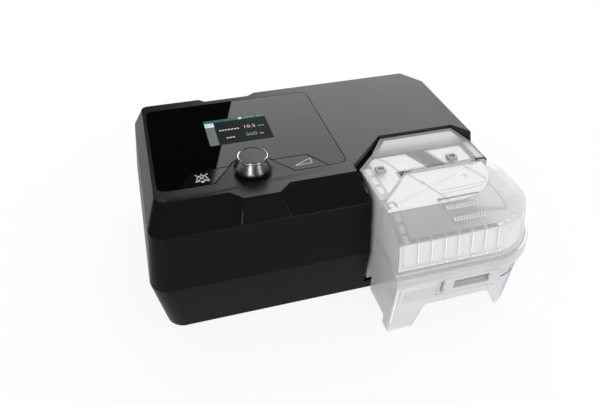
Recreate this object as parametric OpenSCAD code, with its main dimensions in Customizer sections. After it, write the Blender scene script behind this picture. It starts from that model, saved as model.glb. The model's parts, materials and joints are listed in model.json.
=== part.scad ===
// Breathing-therapy machine with a slide-in humidifier tank.
// +X is to the right of someone facing the machine, +Y to its back, +Z up.
// The origin is on the table, under the middle of the whole machine.

/* [Body] */
// Width of the body at its seam
body_w = 307; // [300:1:320]
// Depth of the body at its seam
body_d = 189.5; // [185:0.5:200]
// Height of the top over the table
body_h = 118; // [116:1:126]
// Height of the seam between base shell and middle frame
seam_z = 53.5; // [51:0.5:56]
// Thickness of the moulded walls
wall = 2.5; // [2:0.1:3]
// Lean of the side walls over the seam, in degrees
side_lean = 7; // [4:0.5:8]
// Lean of the front wall over the seam, in degrees
front_lean = 6.2; // [4:0.1:8]
// Lean of the back wall over the seam, in degrees
back_lean = 1.7; // [0.5:0.1:3]
// Lean of the base shell's walls, in degrees
base_lean = 8.5; // [6:0.5:9]
// Height of the bevel round the top
bevel_h = 14.5; // [12:0.5:16]
// Depth of the bevel along the front
front_bevel = 25.6; // [22:0.2:28]
// Width of the bevel along the left side
left_bevel = 8.8; // [7:0.2:10]
// Radius of the front corners at the seam
corner_r = 16; // [12:1:18]
// Radius of the back left corner
back_corner_r = 6; // [4:1:9]
// Width of the slanted back right corner
back_cut_x = 13.5; // [10:0.5:16]
// Depth of the slanted back right corner
back_cut_y = 21.8; // [16:0.2:26]
// Height of the rubber feet
foot_h = 2; // [1.5:0.1:3]

/* [Control area] */
// Width of the top from its left edge to the bay
control_w = 164; // [160:1:168]
// Distance of the dial behind the bevel's top edge
knob_back = 24.8; // [23:0.2:27]
// Distance of the control glass behind the bevel's top edge
glass_back = 14.6; // [13:0.2:17]
// Depth of the control glass
glass_d = 130.4; // [126:0.2:134]
// Width of the top left bare beside the control glass
glass_side = 3.1; // [2.5:0.1:4]
// Thickness of the control glass
glass_t = 2; // [1.5:0.1:2.5]
// Corner radius of the control glass
glass_r = 7; // [5:0.5:9]
// Width of the screen's picture
screen_w = 57.6; // [54:0.2:60]
// Depth of the screen's picture
screen_d = 43.2; // [41:0.2:46]
// Distance of the screen behind the dial
screen_back = 65.9; // [63:0.1:69]
// Depth of the notch in the glass, round the dial
notch_d = 28.5; // [26:0.5:30]
// Half width of the notch at the glass's front edge
notch_half = 33.2; // [31:0.2:35]
// Half width of the notch at its inner end
notch_end_half = 14.6; // [13.5:0.1:16]
// Width of a push button along the glass's front edge
button_w = 29; // [26:0.5:31]
// Depth of a push button
button_d = 20.2; // [18:0.2:21]
// Running gap round a push button
button_gap = 0.4; // [0.3:0.05:0.5]
// Travel of a push button
button_travel = 0.8; // [0.6:0.1:1]

/* [Dial] */
// Radius of the dial at its foot
knob_foot_r = 15.8; // [15:0.1:16.2]
// Radius of the dial under its ring
knob_neck_r = 11.9; // [11:0.1:12.5]
// Radius of the bright ring
ring_r = 12.7; // [12:0.1:13.2]
// Height of the dial over the top
knob_h = 14.5; // [13:0.5:18]
// Height of the bright ring
ring_h = 2.4; // [2:0.1:3]
// Gap under the dial, which holds its press travel
knob_gap = 1.4; // [1.2:0.1:2]
// Travel of the dial when pressed
knob_travel = 0.7; // [0.5:0.1:0.9]
// Radius of the dial's shaft
shaft_r = 3; // [2.5:0.1:3.5]

/* [Bay] */
// Distance of the bay's left front corner behind the bevel's top edge
bay_corner_back = 8.4; // [7:0.2:10]
// Length along each axis of the bay's slanted corner
bay_slant = 37.1; // [35:0.1:39]
// Distance of the bay's step under the top
bay_step = 10; // [9:0.5:11]
// Depth of the step behind the tank
step_d = 14.5; // [13:0.5:16]
// Height of the bay's floor
bay_floor_z = 12; // [11:0.5:13]
// Gap between the tank and the walls of the bay
bay_gap = 1.5; // [1.2:0.1:1.8]
// Gap between the tank and the bay's left wall
bay_side_gap = 3; // [2.5:0.1:3.5]

/* [Tank] */
// Distance that the tank sticks out on the right of the body
tank_overhang = 17; // [15:0.5:19]
// Distance that the tank sticks out in front of the body
tank_reach = 50.5; // [48:0.5:53]
// Distance of the tank's left wall from the bay's upper edge
tank_side = 7; // [6.5:0.1:7.5]
// Distance of the tank's back wall from the bay's upper edge
tank_back = 16; // [15.5:0.1:16.5]
// Length of the tank's slanted back left corner
tank_slant = 16.7; // [15:0.1:18]
// Width of the part of the tank that stands in the bay
tank_in_w = 104.5; // [102:0.5:106]
// Depth of the part of the tank that stands in the bay
tank_in_d = 31; // [29:0.5:33]
// Thickness of the tank's walls
tank_wall = 2.4; // [2:0.1:2.8]
// Height of the flat top of the tank
tank_h = 110; // [109:0.5:112]
// Distance of the tank's rear edge under the machine's top
rear_lip = 2.4; // [2:0.2:4]
// Gap between the tank's rear edge and the edge of the bay
rear_gap = 1.2; // [1:0.1:1.6]
// Gap between the tank's rear flange and the step under it
step_gap = 0.3; // [0.2:0.1:0.5]
// Drop from the flat top of the tank to its upper rim along the front
rim_drop = 13; // [11:0.5:15]
// Height of the joint between tub and lid
joint_z = 66.5; // [65:0.5:68]
// Thickness of the gasket in that joint
gasket_t = 0.8; // [0.6:0.1:1]
// Height of the front band on the tub
band_h = 9.5; // [8:0.5:11]
// Height of the arch between the tub's front legs
arch_z = 27.5; // [25:0.5:30]
// Height of the tub's bottom on the bay floor
tub_bottom_z = 14; // [13.6:0.1:14.5]
// Radius of the big curve at the rim
rim_r = 45; // [43:0.5:46]
// Radius of the big curve at the joint
joint_r = 48; // [46:0.5:49]
// Radius of the big curve of the front band
band_r = 51.5; // [50:0.5:52]
// Radius of the lid's hinge barrel
barrel_r = 2; // [1.8:0.1:2.5]
// Radius of the hinge pin
pin_r = 0.8; // [0.7:0.05:1]
// Gap between the lid and the fixed part of the tank
lid_gap = 0.4; // [0.3:0.05:0.6]
// Width of the latch tab
latch_w = 50; // [46:1:54]
// Width of the finger slot in the latch tab
finger_w = 32; // [30:0.5:36]
// Height of the finger slot
finger_h = 8.5; // [8:0.5:9]

/* [Air path] */
// Radius of the blower's impeller
impeller_r = 27; // [25:0.5:28]
// Height of the blower's scroll
scroll_h = 26; // [24:1:28]
// Outer radius of the air ducts
duct_r = 11; // [10:0.5:12]
// Thickness of the duct walls
duct_wall = 2; // [1.5:0.1:2.5]
// Outer radius of the hose stub
hose_r = 11; // [10.5:0.1:11.5]
// Bore radius of the hose stub
hose_bore_r = 9; // [8.5:0.1:9.5]
// Length of the hose stub
hose_l = 23; // [20:0.5:25]
// Radius of the heater plate
heater_r = 22; // [20:0.5:22.5]
// Travel of the heater plate on its springs
heater_travel = 1.2; // [1:0.1:1.5]

/* [Hidden] */

charcoal = "#3a3a3c";
near_black = "#161618";
clear_grey = "#b9bdc0";

skin = 0.01;
fit = 0.3;
round_fn = 32;
curve_fn = 96;
far = 400;

// Body edges
left_x = -(body_w + tank_overhang) / 2;
right_x = left_x + body_w;
back_y = (body_d + tank_reach) / 2;
front_y = back_y - body_d;
tank_front_y = front_y - tank_reach;
tank_right_x = right_x + tank_overhang;
bevel_z = body_h - bevel_h;
side_top_in = (body_h - seam_z) * tan(side_lean);
bevel_front_y = front_y + (bevel_z - seam_z) * tan(front_lean);
top_left_x = left_x + (bevel_z - seam_z) * tan(side_lean) + left_bevel;
top_front_y = bevel_front_y + front_bevel;
top_right_x = right_x - side_top_in;
top_back_y = back_y - (body_h - seam_z) * tan(back_lean);

// Control area
knob_x = top_left_x + control_w / 2;
knob_y = top_front_y + knob_back;
glass_z = body_h - glass_t;
glass_left = top_left_x + glass_side;
glass_right = top_left_x + control_w - glass_side;
glass_front = top_front_y + glass_back;
roof_t = wall;
roof_z = glass_z - roof_t;
screen_y = knob_y + screen_back;
display_rim = 5;
display_t = 5;
window_gap = 0.4;
board_z = body_h - 18;
board_t = 1.6;
board_front = 20;
board_side = 6;
encoder_h = 6.5;
encoder_w = 12;
switch_w = 6;
switch_h = 4;
button_t = glass_t;
stem_r = 2;
roof_drop = glass_t + roof_t;

// Bay edges: the upper cut, and the deeper pocket that the tank fills
bay_x = top_left_x + control_w;
bay_corner_y = top_front_y + bay_corner_back;
bay_back_y = bay_corner_y + bay_slant;
bay_end_x = top_right_x - 12;
bay_end_y = bay_back_y - 15.5;
step_z = body_h - bay_step;
tank_x = bay_x + tank_side;
tank_y = bay_back_y - tank_back;
tank_in_right = tank_x + tank_in_w;
wide_y = tank_y - tank_in_d;
cap_swell = 0.25;
pocket_x = tank_x - bay_side_gap;
pocket_back = tank_y + bay_gap;
pocket_right = tank_in_right + bay_gap;
rail_end_y = wide_y + bay_gap;
rail_low_z = seam_z - 3.5;
wide_low_z = rail_low_z + bay_gap;
deck_t = 2.5;
port_z = tank_h - 30;
port_r = 8;
inlet_x = tank_x + 38;
outlet_x = tank_in_right - 23.5;

// Heater
well_front = front_y + 8;
heater_x = tank_x + 52;
heater_y = (tank_y + well_front) / 2;
heater_top = tub_bottom_z - fit;
heater_flange_t = 1.6;
heater_flange_r = heater_r + 2.5;
heater_gap = 1;
heater_low = bay_floor_z - deck_t - 0.2 - heater_flange_t;
heat_disc_r = heater_r + 1.4;
spring_r = 3;
spring_bore_r = 2.2;
spring_circle_r = heater_r - 4;
base_floor_z = foot_h + wall + skin;
foot_r = 6;

// Tank
big_x = tank_right_x - band_r;
big_y = tank_front_y + band_r;
flat_r = 45;
rim_z = tank_h - rim_drop;
flat_x = tank_x + 64;
flat_y = tank_front_y + 80;
crease_y = flat_y - flat_r;
rim_x = big_x - 2;
rim_y = big_y + 1.5;
rim_front = rim_y - rim_r;
joint_front = big_y + 1 - joint_r;
lid_z = joint_z + gasket_t + 0.1;
hinge_y = wide_y + 0.5;
hinge_z = tank_h - barrel_r;
hinge_left = tank_x + 36;
barrel_left = hinge_left + 6;
barrel_right = tank_in_right - 8;
ear_w = 5.6;
hinge_room = barrel_r + 0.5;
flange_low = step_z + step_gap;
flange_top = max(tank_h, flange_low + 1.6) - 0.1;
skirt_back = front_y - 2;
tub_floor_z = arch_z + 3;
bowl_r = 49;
bowl_foot_r = 46;
foot_left_w = 23;
arch_left = tank_x + foot_left_w;
arch_lean = 6;
arch_right = tank_x + 106;
arch_top_right = tank_x + 88.6;
skirt_z = 10;
leg_d = 10;
band_z = joint_z - band_h;
mark_z = 40.5;

// Latch
latch_x = tank_x + 67;
latch_low = 43;
latch_high = band_z;
latch_front = tank_front_y + 0.2;
latch_t = 2.4;
latch_pin_r = 1.5;
latch_pin_l = 2.5;
latch_axis_y = latch_front + 5.8;
latch_seat_y = latch_axis_y + latch_pin_r + 0.7;
latch_room = 0.6;

// Blower
blower_x = knob_x - 15;
blower_y = 40;
blower_z = 16;
scroll_r = 33;
scroll_grow = 12;
motor_shaft_r = 1.5;
duct_y = blower_y + scroll_r + 4;
duct_low_z = blower_z + scroll_h / 2;

// Back wall fittings
pocket_floor_y = back_y - 14;
rear_pocket = [left_x + 22, left_x + 88, 12, 38];
door_w = 50;
door_h = 35;
door_x = left_x + 47;
door_z = 60;
door_t = 2.2;
door_pin_r = 1.2;
door_end = 1.8;
door_y = back_y - 5.5;
card_x = left_x + 66;
card_z = 15;
card_w = 26;
card_h = 18;
card_pin_r = 0.8;
card_axis_y = pocket_floor_y + 1.9;
jack_x = left_x + 32;
jack_z = 25;
hose_pocket_r = 20;
hose_start_y = back_y - hose_l - 1.5;
outlet_r = hose_r - 0.7;
boss_r = 4.2;
screw_r = 1.5;
screw_head_r = 2.9;
screw_seat_z = seam_z - 8;
boss_top = seam_z + 10;
screw_l = boss_top - screw_seat_z - 3;
boss_points = [
    [left_x + 20, front_y + 22], [bay_x - 18, front_y + 22], [left_x + 20, back_y - 22],
    [bay_x - 18, back_y - 18], [right_x - 34, back_y - 62], [bay_x + 40, back_y - 18]
];
board_posts = [
    [glass_left + 10, glass_front + 34], [glass_right - 10, glass_front + 34],
    [glass_left + 10, glass_front + 116], [glass_right - 10, glass_front + 116]
];

// ---------- outlines ----------

// One level of the body's outline: the corners whose hull makes the casing.
module level(z, in_left, in_right, in_front, in_back, r, t = 0) {
    x0 = left_x + in_left + t;
    x1 = right_x - in_right - t;
    y0 = front_y + in_front + t;
    y1 = back_y - in_back - t;
    rf = max(r - t, 1);
    rb = max(back_corner_r - t, 1);
    rs = 2;
    for (c = [
        [x0 + rf, y0 + rf, rf], [x1 - rf, y0 + rf, rf], [x0 + rb, y1 - rb, rb],
        [x1 - back_cut_x - rs, y1 - rs, rs], [x1 - rs, y1 - back_cut_y - rs, rs]
    ])
        translate([c[0], c[1], z]) cylinder(r = c[2], h = skin, $fn = round_fn);
}

// t is the distance inside the outer face; over carries the shape past its ends
module base_solid(t = 0) {
    drop = (seam_z - foot_h - t) * tan(base_lean);
    hull() {
        level(foot_h + t, drop, drop, drop, drop, corner_r, t);
        level(seam_z - skin, 0, 0, 0, 0, corner_r, t);
    }
}

module upper_level(z, t = 0) {
    up = z - seam_z;
    level(z, up * tan(side_lean), up * tan(side_lean), up * tan(front_lean), up * tan(back_lean),
          corner_r - 2 * up / (bevel_z - seam_z), t);
}

module middle_solid(t = 0, over = 0) {
    hull() {
        upper_level(seam_z - over, t);
        upper_level(bevel_z - (over > 0 ? -over : skin), t);
    }
}

module top_solid(t = 0, drop = 0, over = 0) {
    up = body_h - seam_z;
    hull() {
        upper_level(bevel_z, t);
        if (over > 0) translate([0, 0, -over]) upper_level(bevel_z, t);
        level(body_h - skin - drop, (bevel_z - seam_z) * tan(side_lean) + left_bevel,
              up * tan(side_lean), (bevel_z - seam_z) * tan(front_lean) + front_bevel,
              up * tan(back_lean), corner_r - 5, t);
    }
}

// The inside of the casing, seen from its right side; t is the wall thickness
module front_profile(t) {
    drop = (seam_z - foot_h - t) * tan(base_lean);
    translate([-far, 0, 0]) rotate([90, 0, 90]) linear_extrude(height = 2 * far) polygon([
        [front_y + drop + t, foot_h + t], [front_y + t, seam_z],
        [front_y + (bevel_z - seam_z) * tan(front_lean) + t, bevel_z],
        [top_front_y + t, body_h - roof_drop], [far, body_h - roof_drop], [far, foot_h + t]
    ]);
}

// The inside of the casing, seen from the front
module right_profile(t) {
    drop = (seam_z - foot_h - t) * tan(base_lean);
    translate([0, far, 0]) rotate([90, 0, 0]) linear_extrude(height = 2 * far) polygon([
        [right_x - drop - t, foot_h + t], [right_x - t, seam_z],
        [right_x - (bevel_z - seam_z) * tan(side_lean) - t, bevel_z],
        [top_right_x - t, body_h - roof_drop], [-far, body_h - roof_drop], [-far, foot_h + t]
    ]);
}

// The nose that carries the top forward in front of the dial
module nose() {
    hull() {
        translate([knob_x, top_front_y, body_h - skin]) linear_extrude(height = skin)
            polygon([[-25.5, 1], [-15, -10.4], [14, -10.4], [26, 1]]);
        translate([knob_x, top_front_y - front_bevel + 0.6, bevel_z + 0.4])
            linear_extrude(height = skin) polygon([[-21, 1], [-20, 0], [20, 0], [21, 1]]);
    }
}

// The bay's upper edge as seen from above; g moves it outward
function bay_edge(g = 0) = [
    [pocket_x - g, -far], [pocket_x - g, bevel_front_y],
    [bay_x - g, top_front_y], [bay_x - g, bay_corner_y + g * 0.4142],
    [bay_x + bay_slant - g * 0.4142, bay_back_y + g],
    [bay_end_x + g * (bay_n - 1) / bay_m, bay_back_y + g],
    [top_right_x + 6, bay_back_y - bay_m * (top_right_x + 6 - bay_end_x) + g * bay_n],
    [top_right_x + 6, -far]
];
bay_m = (bay_back_y - bay_end_y) / (top_right_x - bay_end_x);
bay_n = sqrt(1 + bay_m * bay_m);

module bay_upper_cut() {
    translate([0, 0, step_z]) linear_extrude(height = far) polygon(bay_edge());
}

// The pocket that the tank slides into; g grows it by a wall's thickness
function pocket_pts(g = 0) =
    let (k = tank_y - tank_x - tank_slant + bay_gap * sqrt(2) + g * sqrt(2),
         x0 = pocket_x - g, y1 = pocket_back + g)
    [
        [x0, front_y - far], [x0, x0 + k], [y1 - k, y1],
        [pocket_right + g, y1], [pocket_right + g, front_y - far]
    ];

module pocket_cut(g = 0, z = bay_floor_z) {
    translate([0, 0, z]) linear_extrude(height = far) polygon(pocket_pts(g));
}

// Room for the wide front of the tank
module wide_cut() {
    translate([pocket_right - 1, -far, rail_low_z]) cube([far, far + rail_end_y, far]);
}

// What the bay takes out of the casing: the liner's walls stand inside the casing's own
module bay_cut() {
    pocket_cut();
    intersection() {
        pocket_cut(wall, bay_floor_z - deck_t);
        front_profile(wall);
    }
    wide_cut();
}

// ---------- casing ----------

module base_shell() {
    color(near_black) difference() {
        union() {
            difference() {
                base_solid();
                translate([0, 0, skin]) base_solid(wall);
            }
            intersection() {
                base_solid();
                union() {
                    for (p = boss_points)
                        translate([p[0], p[1], foot_h + 1]) cylinder(r = boss_r, h = seam_z - foot_h - 1, $fn = round_fn);
                    rear_pocket_block();
                    // Rests under the bay's floor
                    for (x = [tank_x + 4, tank_in_right - 8], y = [front_y + 12, tank_y - 10])
                        translate([x, y, foot_h + 1]) cube([4, 6, bay_floor_z - foot_h - 1]);
                }
            }
            spring_places() translate([0, 0, base_floor_z - 0.1])
                cylinder(r = spring_bore_r - 0.2, h = 1.1, $fn = round_fn);
        }
        bay_cut();
        difference() {
            rear_pocket_hole();
            card_ears();
        }
        translate([card_x, card_axis_y, card_z]) rotate([0, 90, 0])
            cylinder(r = card_pin_r + 0.05, h = card_w + 4.6, center = true, $fn = round_fn);
        for (p = boss_points) translate([p[0], p[1], -1]) {
            cylinder(r = screw_r + 0.3, h = far, $fn = round_fn);
            cylinder(r = screw_head_r + 0.4, h = screw_seat_z + 1, $fn = round_fn);
        }
        foot_places() translate([0, 0, foot_h - 1]) cylinder(r = foot_r + 0.2, h = 2, $fn = round_fn);
        for (i = [0 : 7])
            translate([left_x + 70 + i * 7, -30, -1]) cube([3, 26, foot_h + wall + 2]);
    }
}

module rear_pocket_block() {
    p = rear_pocket;
    translate([p[0] - wall, pocket_floor_y - wall, foot_h + 1])
        cube([p[1] - p[0] + 2 * wall, far, p[3] + wall - foot_h - 1]);
}

module rear_pocket_hole() {
    p = rear_pocket;
    translate([p[0], pocket_floor_y, p[2]]) cube([p[1] - p[0], far, p[3] - p[2]]);
    translate([jack_x, pocket_floor_y - wall - 1, jack_z]) rotate([-90, 0, 0])
        cylinder(r = 5.6, h = wall + 2, $fn = round_fn);
    translate([card_x - 9, pocket_floor_y - wall - 1, card_z + 6]) cube([18, wall + 2, 3]);
}

// Two ears that carry the card door's pins
module card_ears() {
    for (s = [-1, 1])
        translate([card_x + s * (card_w / 2 + 1.8) - 1.5, pocket_floor_y - 1, rear_pocket[2] - 1])
            cube([3, 5, card_z - rear_pocket[2] + 3]);
}

module middle_frame() {
    color(near_black) difference() {
        union() {
            difference() {
                middle_solid();
                middle_solid(wall, 1);
            }
            intersection() {
                middle_solid();
                union() {
                    for (p = boss_points) {
                        translate([p[0], p[1], seam_z]) cylinder(r = boss_r, h = boss_top - seam_z, $fn = round_fn);
                        boss_web(p);
                    }
                    filter_box();
                    hose_pocket();
                }
            }
        }
        bay_cut();
        filter_openings();
        hose_pocket_hole();
        for (p = boss_points)
            translate([p[0], p[1], seam_z - 1])
                cylinder(r = screw_r, h = boss_top - seam_z - 1, $fn = round_fn);
    }
}

// A web from a screw boss to the nearest front or back wall
module boss_web(p) {
    to_back = p[1] > 0;
    translate([p[0] - 1.5, to_back ? p[1] : p[1] - 30, seam_z]) cube([3, 30, boss_top - seam_z]);
}

module filter_box() {
    translate([door_x - door_w / 2 - wall, door_y - 16, door_z - wall])
        cube([door_w + 2 * wall, far, door_h + 2 * wall]);
}

module filter_openings() {
    translate([door_x - door_w / 2, door_y - 14, door_z]) cube([door_w, far, door_h]);
    for (i = [0 : 4])
        translate([door_x - door_w / 2 + 6, door_y - 20, door_z + 5 + i * 6.4])
            cube([door_w - 12, 8, 3.4]);
    translate([door_x - door_w / 2 - door_end, door_y + door_t / 2, door_z + door_pin_r + 0.6])
        rotate([0, 90, 0])
            cylinder(r = door_pin_r + 0.05, h = door_w + 2 * door_end, $fn = round_fn);
}

module hose_pocket() {
    translate([outlet_x, hose_start_y - 2, port_z]) rotate([-90, 0, 0])
        cylinder(r = hose_pocket_r + 2, h = far, $fn = 48);
}

module hose_pocket_hole() {
    translate([outlet_x, hose_start_y, port_z]) rotate([-90, 0, 0])
        cylinder(r = hose_pocket_r, h = far, $fn = 48);
    translate([outlet_x, hose_start_y - 4, port_z]) rotate([-90, 0, 0])
        cylinder(r = outlet_r + 0.1, h = 6, $fn = 48);
}

module top_cover() {
    color(charcoal) difference() {
        union() {
            difference() {
                union() {
                    top_solid();
                    nose();
                }
                top_solid(wall, roof_drop, 1);
            }
            intersection() {
                top_solid();
                translate([0, 0, step_z]) linear_extrude(height = bay_step) difference() {
                    polygon(bay_edge(wall));
                    polygon(bay_edge());
                }
            }
            for (p = board_posts)
                translate([p[0], p[1], board_z + board_t])
                    cylinder(r = 3.5, h = roof_z - board_z - board_t + 0.5, $fn = round_fn);
        }
        bay_upper_cut();
        bay_cut();
        translate([0, 0, glass_z]) linear_extrude(height = far) glass_outline(0.2);
        translate([knob_x, knob_y, roof_z - 6]) cylinder(r = shaft_r + 1.2, h = 40, $fn = round_fn);
        translate([knob_x, knob_y, body_h - 1]) cylinder(r = knob_foot_r + 0.6, h = 9, $fn = curve_fn);
        window_hole(window_gap);
        for (s = [-1, 1]) button_stem_place(s)
            translate([0, 0, roof_z - 6]) cylinder(r = stem_r + 0.1, h = 30, $fn = round_fn);
        for (p = board_posts)
            translate([p[0], p[1], board_z]) cylinder(r = 1.2, h = 8.4, $fn = round_fn);
        rear_notch();
    }
}

module rear_notch() {
    translate([knob_x, top_back_y, body_h - 3]) linear_extrude(height = 10)
        polygon([[-26, 1], [-26, -0.8], [-21, -5.6], [20, -5.6], [28, -0.8], [28, 1]]);
}

module window_hole(g) {
    translate([knob_x - screen_w / 2 - g, screen_y - screen_d / 2 - g, roof_z - 3])
        cube([screen_w + 2 * g, screen_d + 2 * g, roof_t + 3 + skin]);
}

// Plan of the right rail's shelf, which stays inside the base shell's rounded corner
module rail_shelf() {
    r = corner_r - wall - 1;
    polygon(concat(
        [[pocket_right, front_y + corner_r - r]],
        [for (a = [-90 : 10 : 0]) [right_x - corner_r + r * cos(a), front_y + corner_r + r * sin(a)]],
        [[right_x - corner_r + r, rail_end_y + wall], [pocket_right, rail_end_y + wall]]
    ));
}

// The inner walls, step and floor of the bay
module bay_liner() {
    g = wall - 0.05;
    low = bay_floor_z - deck_t;
    color("#2b2b2d") difference() {
        intersection() {
            union() {
                // Walls of the pocket and its floor
                translate([0, 0, low]) linear_extrude(height = step_z - low) difference() {
                    polygon(pocket_pts(g));
                    polygon(pocket_pts());
                }
                translate([0, 0, low]) linear_extrude(height = deck_t) polygon(pocket_pts(g));
                // Step round the tank's top
                translate([0, 0, step_z - wall]) linear_extrude(height = wall) difference() {
                    polygon(bay_edge(g));
                    polygon(pocket_pts());
                }
                // Front end and shelf of the right rail
                translate([pocket_right, rail_end_y, rail_low_z - wall])
                    cube([far, wall, step_z - rail_low_z + wall]);
                translate([0, 0, rail_low_z - wall]) linear_extrude(height = wall) rail_shelf();
            }
            front_profile(wall + 0.05);
            right_profile(wall + 0.05);
        }
        translate([heater_x, heater_y, 0]) cylinder(r = heater_r + heater_gap, h = 40, $fn = curve_fn);
        for (x = [inlet_x, outlet_x])
            translate([x, pocket_back - 1, port_z]) rotate([-90, 0, 0])
                cylinder(r = port_r + 1, h = wall + 2, $fn = 48);
        wide_cut();
    }
}

// ---------- controls ----------

// Half the notch's width at a depth d behind the glass's front edge
function notch_at(d) = notch_half - (notch_half - notch_end_half) * d / (notch_d - 3);

module glass_outline(g = 0) {
    difference() {
        hull() for (x = [glass_left + glass_r, glass_right - glass_r],
                    y = [glass_front + glass_r, glass_front + glass_d - glass_r])
            translate([x, y]) circle(r = glass_r + g, $fn = 48);
        polygon(notch_pts(g));
    }
}

function notch_pts(g) = [
    for (p = [[-notch_half - 2.2, -3], [-notch_end_half, notch_d - 3], [-notch_end_half + 4, notch_d],
              [notch_end_half - 4, notch_d], [notch_end_half, notch_d - 3], [notch_half + 2.2, -3]])
        [knob_x + p[0] + (p[0] < 0 ? g : -g), glass_front + p[1] - (p[1] > 0 ? g : 0)]
];

// Outline of a push button; side is -1 on the left and 1 on the right
function button_pts(side, g = 0) = [
    for (p = [[notch_half + g, g], [notch_half + button_w - g * 1.6, g],
              [notch_half + button_w - 13.6 - g, button_d - g], [notch_at(button_d) + g, button_d - g]])
        [knob_x + side * p[0], glass_front + p[1]]
];

module button_stem_place(side) {
    translate([knob_x + side * (notch_half + 8), glass_front + button_d / 2, 0]) children();
}

module control_glass() {
    color("black") translate([0, 0, glass_z]) linear_extrude(height = glass_t) difference() {
        glass_outline();
        for (s = [-1, 1]) polygon(button_pts(s, -0.1));
    }
}

module display_panel() {
    color("#20343a") translate([knob_x, screen_y, 0]) union() {
        translate([-screen_w / 2, -screen_d / 2, roof_z - 1]) cube([screen_w, screen_d, roof_t + 1]);
        translate([-screen_w / 2 - display_rim, -screen_d / 2 - display_rim, roof_z - display_t])
            cube([screen_w + 2 * display_rim, screen_d + 2 * display_rim, display_t]);
    }
}

module push_button(side) {
    top = body_h;
    color("#1c1c1e") union() {
        translate([0, 0, top - button_t + 0.9]) linear_extrude(height = button_t - 0.9)
            polygon(button_pts(side, button_gap));
        button_stem_place(side) translate([0, 0, board_z + board_t + switch_h])
            cylinder(r = stem_r, h = top - 1 - board_z - board_t - switch_h, $fn = round_fn);
    }
}

module mute_button() { push_button(-1); }

module ramp_button() { push_button(1); }

module button_switches() {
    color("silver") for (s = [-1, 1]) button_stem_place(s)
        translate([-switch_w / 2, -switch_w / 2, board_z + board_t])
            cube([switch_w, switch_w, switch_h - button_travel - 0.1]);
}

module knob_place() { translate([knob_x, knob_y, body_h]) children(); }

module knob_body() {
    foot = knob_gap;
    neck = knob_h - ring_h;
    color("#8c8c8e") knob_place() difference() {
        rotate_extrude($fn = curve_fn) polygon(concat(
            [[0, foot], [knob_foot_r - 0.6, foot]],
            [for (i = [0 : 12])
                let (s = i / 12, z = foot + 0.6 + s * (neck - foot - 0.6))
                [knob_neck_r + (knob_foot_r - knob_neck_r) * pow(1 - s, 2.2), z]],
            [[0, neck]]));
        translate([0, 0, foot - 1]) cylinder(r = shaft_r + 0.05, h = 9.1, $fn = round_fn);
    }
}

module knob_ring() {
    z = knob_h - ring_h;
    color("white") knob_place() rotate_extrude($fn = curve_fn) polygon([
        [ring_r - 1.3, z], [ring_r - 0.5, z], [ring_r, z + 0.5], [ring_r, knob_h - 0.5],
        [ring_r - 0.5, knob_h], [ring_r - 1.3, knob_h]
    ]);
}

module knob_cap() {
    color("#4a4a4c") knob_place() translate([0, 0, knob_h - ring_h])
        cylinder(r = ring_r - 1.3, h = ring_h - 0.2, $fn = curve_fn);
}

module knob_shaft() {
    low = board_z + board_t + encoder_h - 4;
    color("silver") translate([knob_x, knob_y, low])
        cylinder(r = shaft_r, h = body_h + knob_gap + 8 - low, $fn = round_fn);
}

module encoder() {
    color("#777777") translate([knob_x, knob_y, board_z + board_t]) difference() {
        translate([-encoder_w / 2, -encoder_w / 2, 0]) cube([encoder_w, encoder_w, encoder_h]);
        translate([0, 0, encoder_h - 4 - knob_travel - 0.3])
            cylinder(r = shaft_r + 0.05, h = 20, $fn = round_fn);
    }
}

module main_board() {
    x0 = glass_left + board_side;
    x1 = glass_right - board_side;
    y0 = knob_y - board_front;
    y1 = glass_front + glass_d - 14;
    color("darkgreen") difference() {
        union() {
            translate([x0, y0, board_z]) cube([x1 - x0, y1 - y0, board_t]);
            // Tall parts on the board
            translate([x0 + 40, y1 - 38, board_z - 12]) cube([24, 20, 12.1]);
            translate([x1 - 44, y1 - 30, board_z - 3]) cube([20, 20, 3.1]);
            translate([knob_x - 12, screen_y - 4, board_z + board_t - 0.1])
                cube([24, 8, roof_z - display_t - board_z - board_t + 0.1]);
        }
        for (p = board_posts)
            translate([p[0], p[1], board_z - 1]) cylinder(r = 1.4, h = 5, $fn = round_fn);
    }
}

module board_screws() {
    color("silver") for (p = board_posts) translate([p[0], p[1], board_z - 1.8]) union() {
        cylinder(r = 2.6, h = 1.8, $fn = round_fn);
        cylinder(r = 1.2, h = 9.8, $fn = round_fn);
    }
}

// ---------- air path ----------

// Spiral outline of the scroll, g inside its outer face
function scroll_pts(g) = [
    for (i = [0 : 36]) let (a = i * 10, r = scroll_r + scroll_grow * i / 36 - g) [r * cos(a), r * sin(a)]
];

module blower_place() { translate([blower_x, blower_y, blower_z]) children(); }

module blower_scroll() {
    mouth_x = scroll_r + scroll_grow - 2 * duct_r;
    color("#d8d8d8") blower_place() difference() {
        union() {
            linear_extrude(height = scroll_h - 2) polygon(scroll_pts(0));
            translate([mouth_x, 0, 0]) cube([2 * duct_r, duct_y - duct_r - blower_y, scroll_h - 2]);
        }
        translate([0, 0, 2]) linear_extrude(height = scroll_h) polygon(scroll_pts(2));
        translate([mouth_x + 2, 0.1, 2])
            cube([2 * duct_r - 4, duct_y - duct_r - blower_y + 1, scroll_h]);
        translate([0, 0, -1]) cylinder(r = 14, h = 4, $fn = curve_fn);
    }
}

module blower_cover() {
    mouth_x = scroll_r + scroll_grow - 2 * duct_r;
    color("#cccccc") blower_place() translate([0, 0, scroll_h - 2]) difference() {
        union() {
            linear_extrude(height = 2) polygon(scroll_pts(0));
            translate([mouth_x, 0, 0]) cube([2 * duct_r, duct_y - duct_r - blower_y, 2]);
        }
        translate([0, 0, -1]) cylinder(r = 3, h = 4, $fn = round_fn);
    }
}

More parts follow.
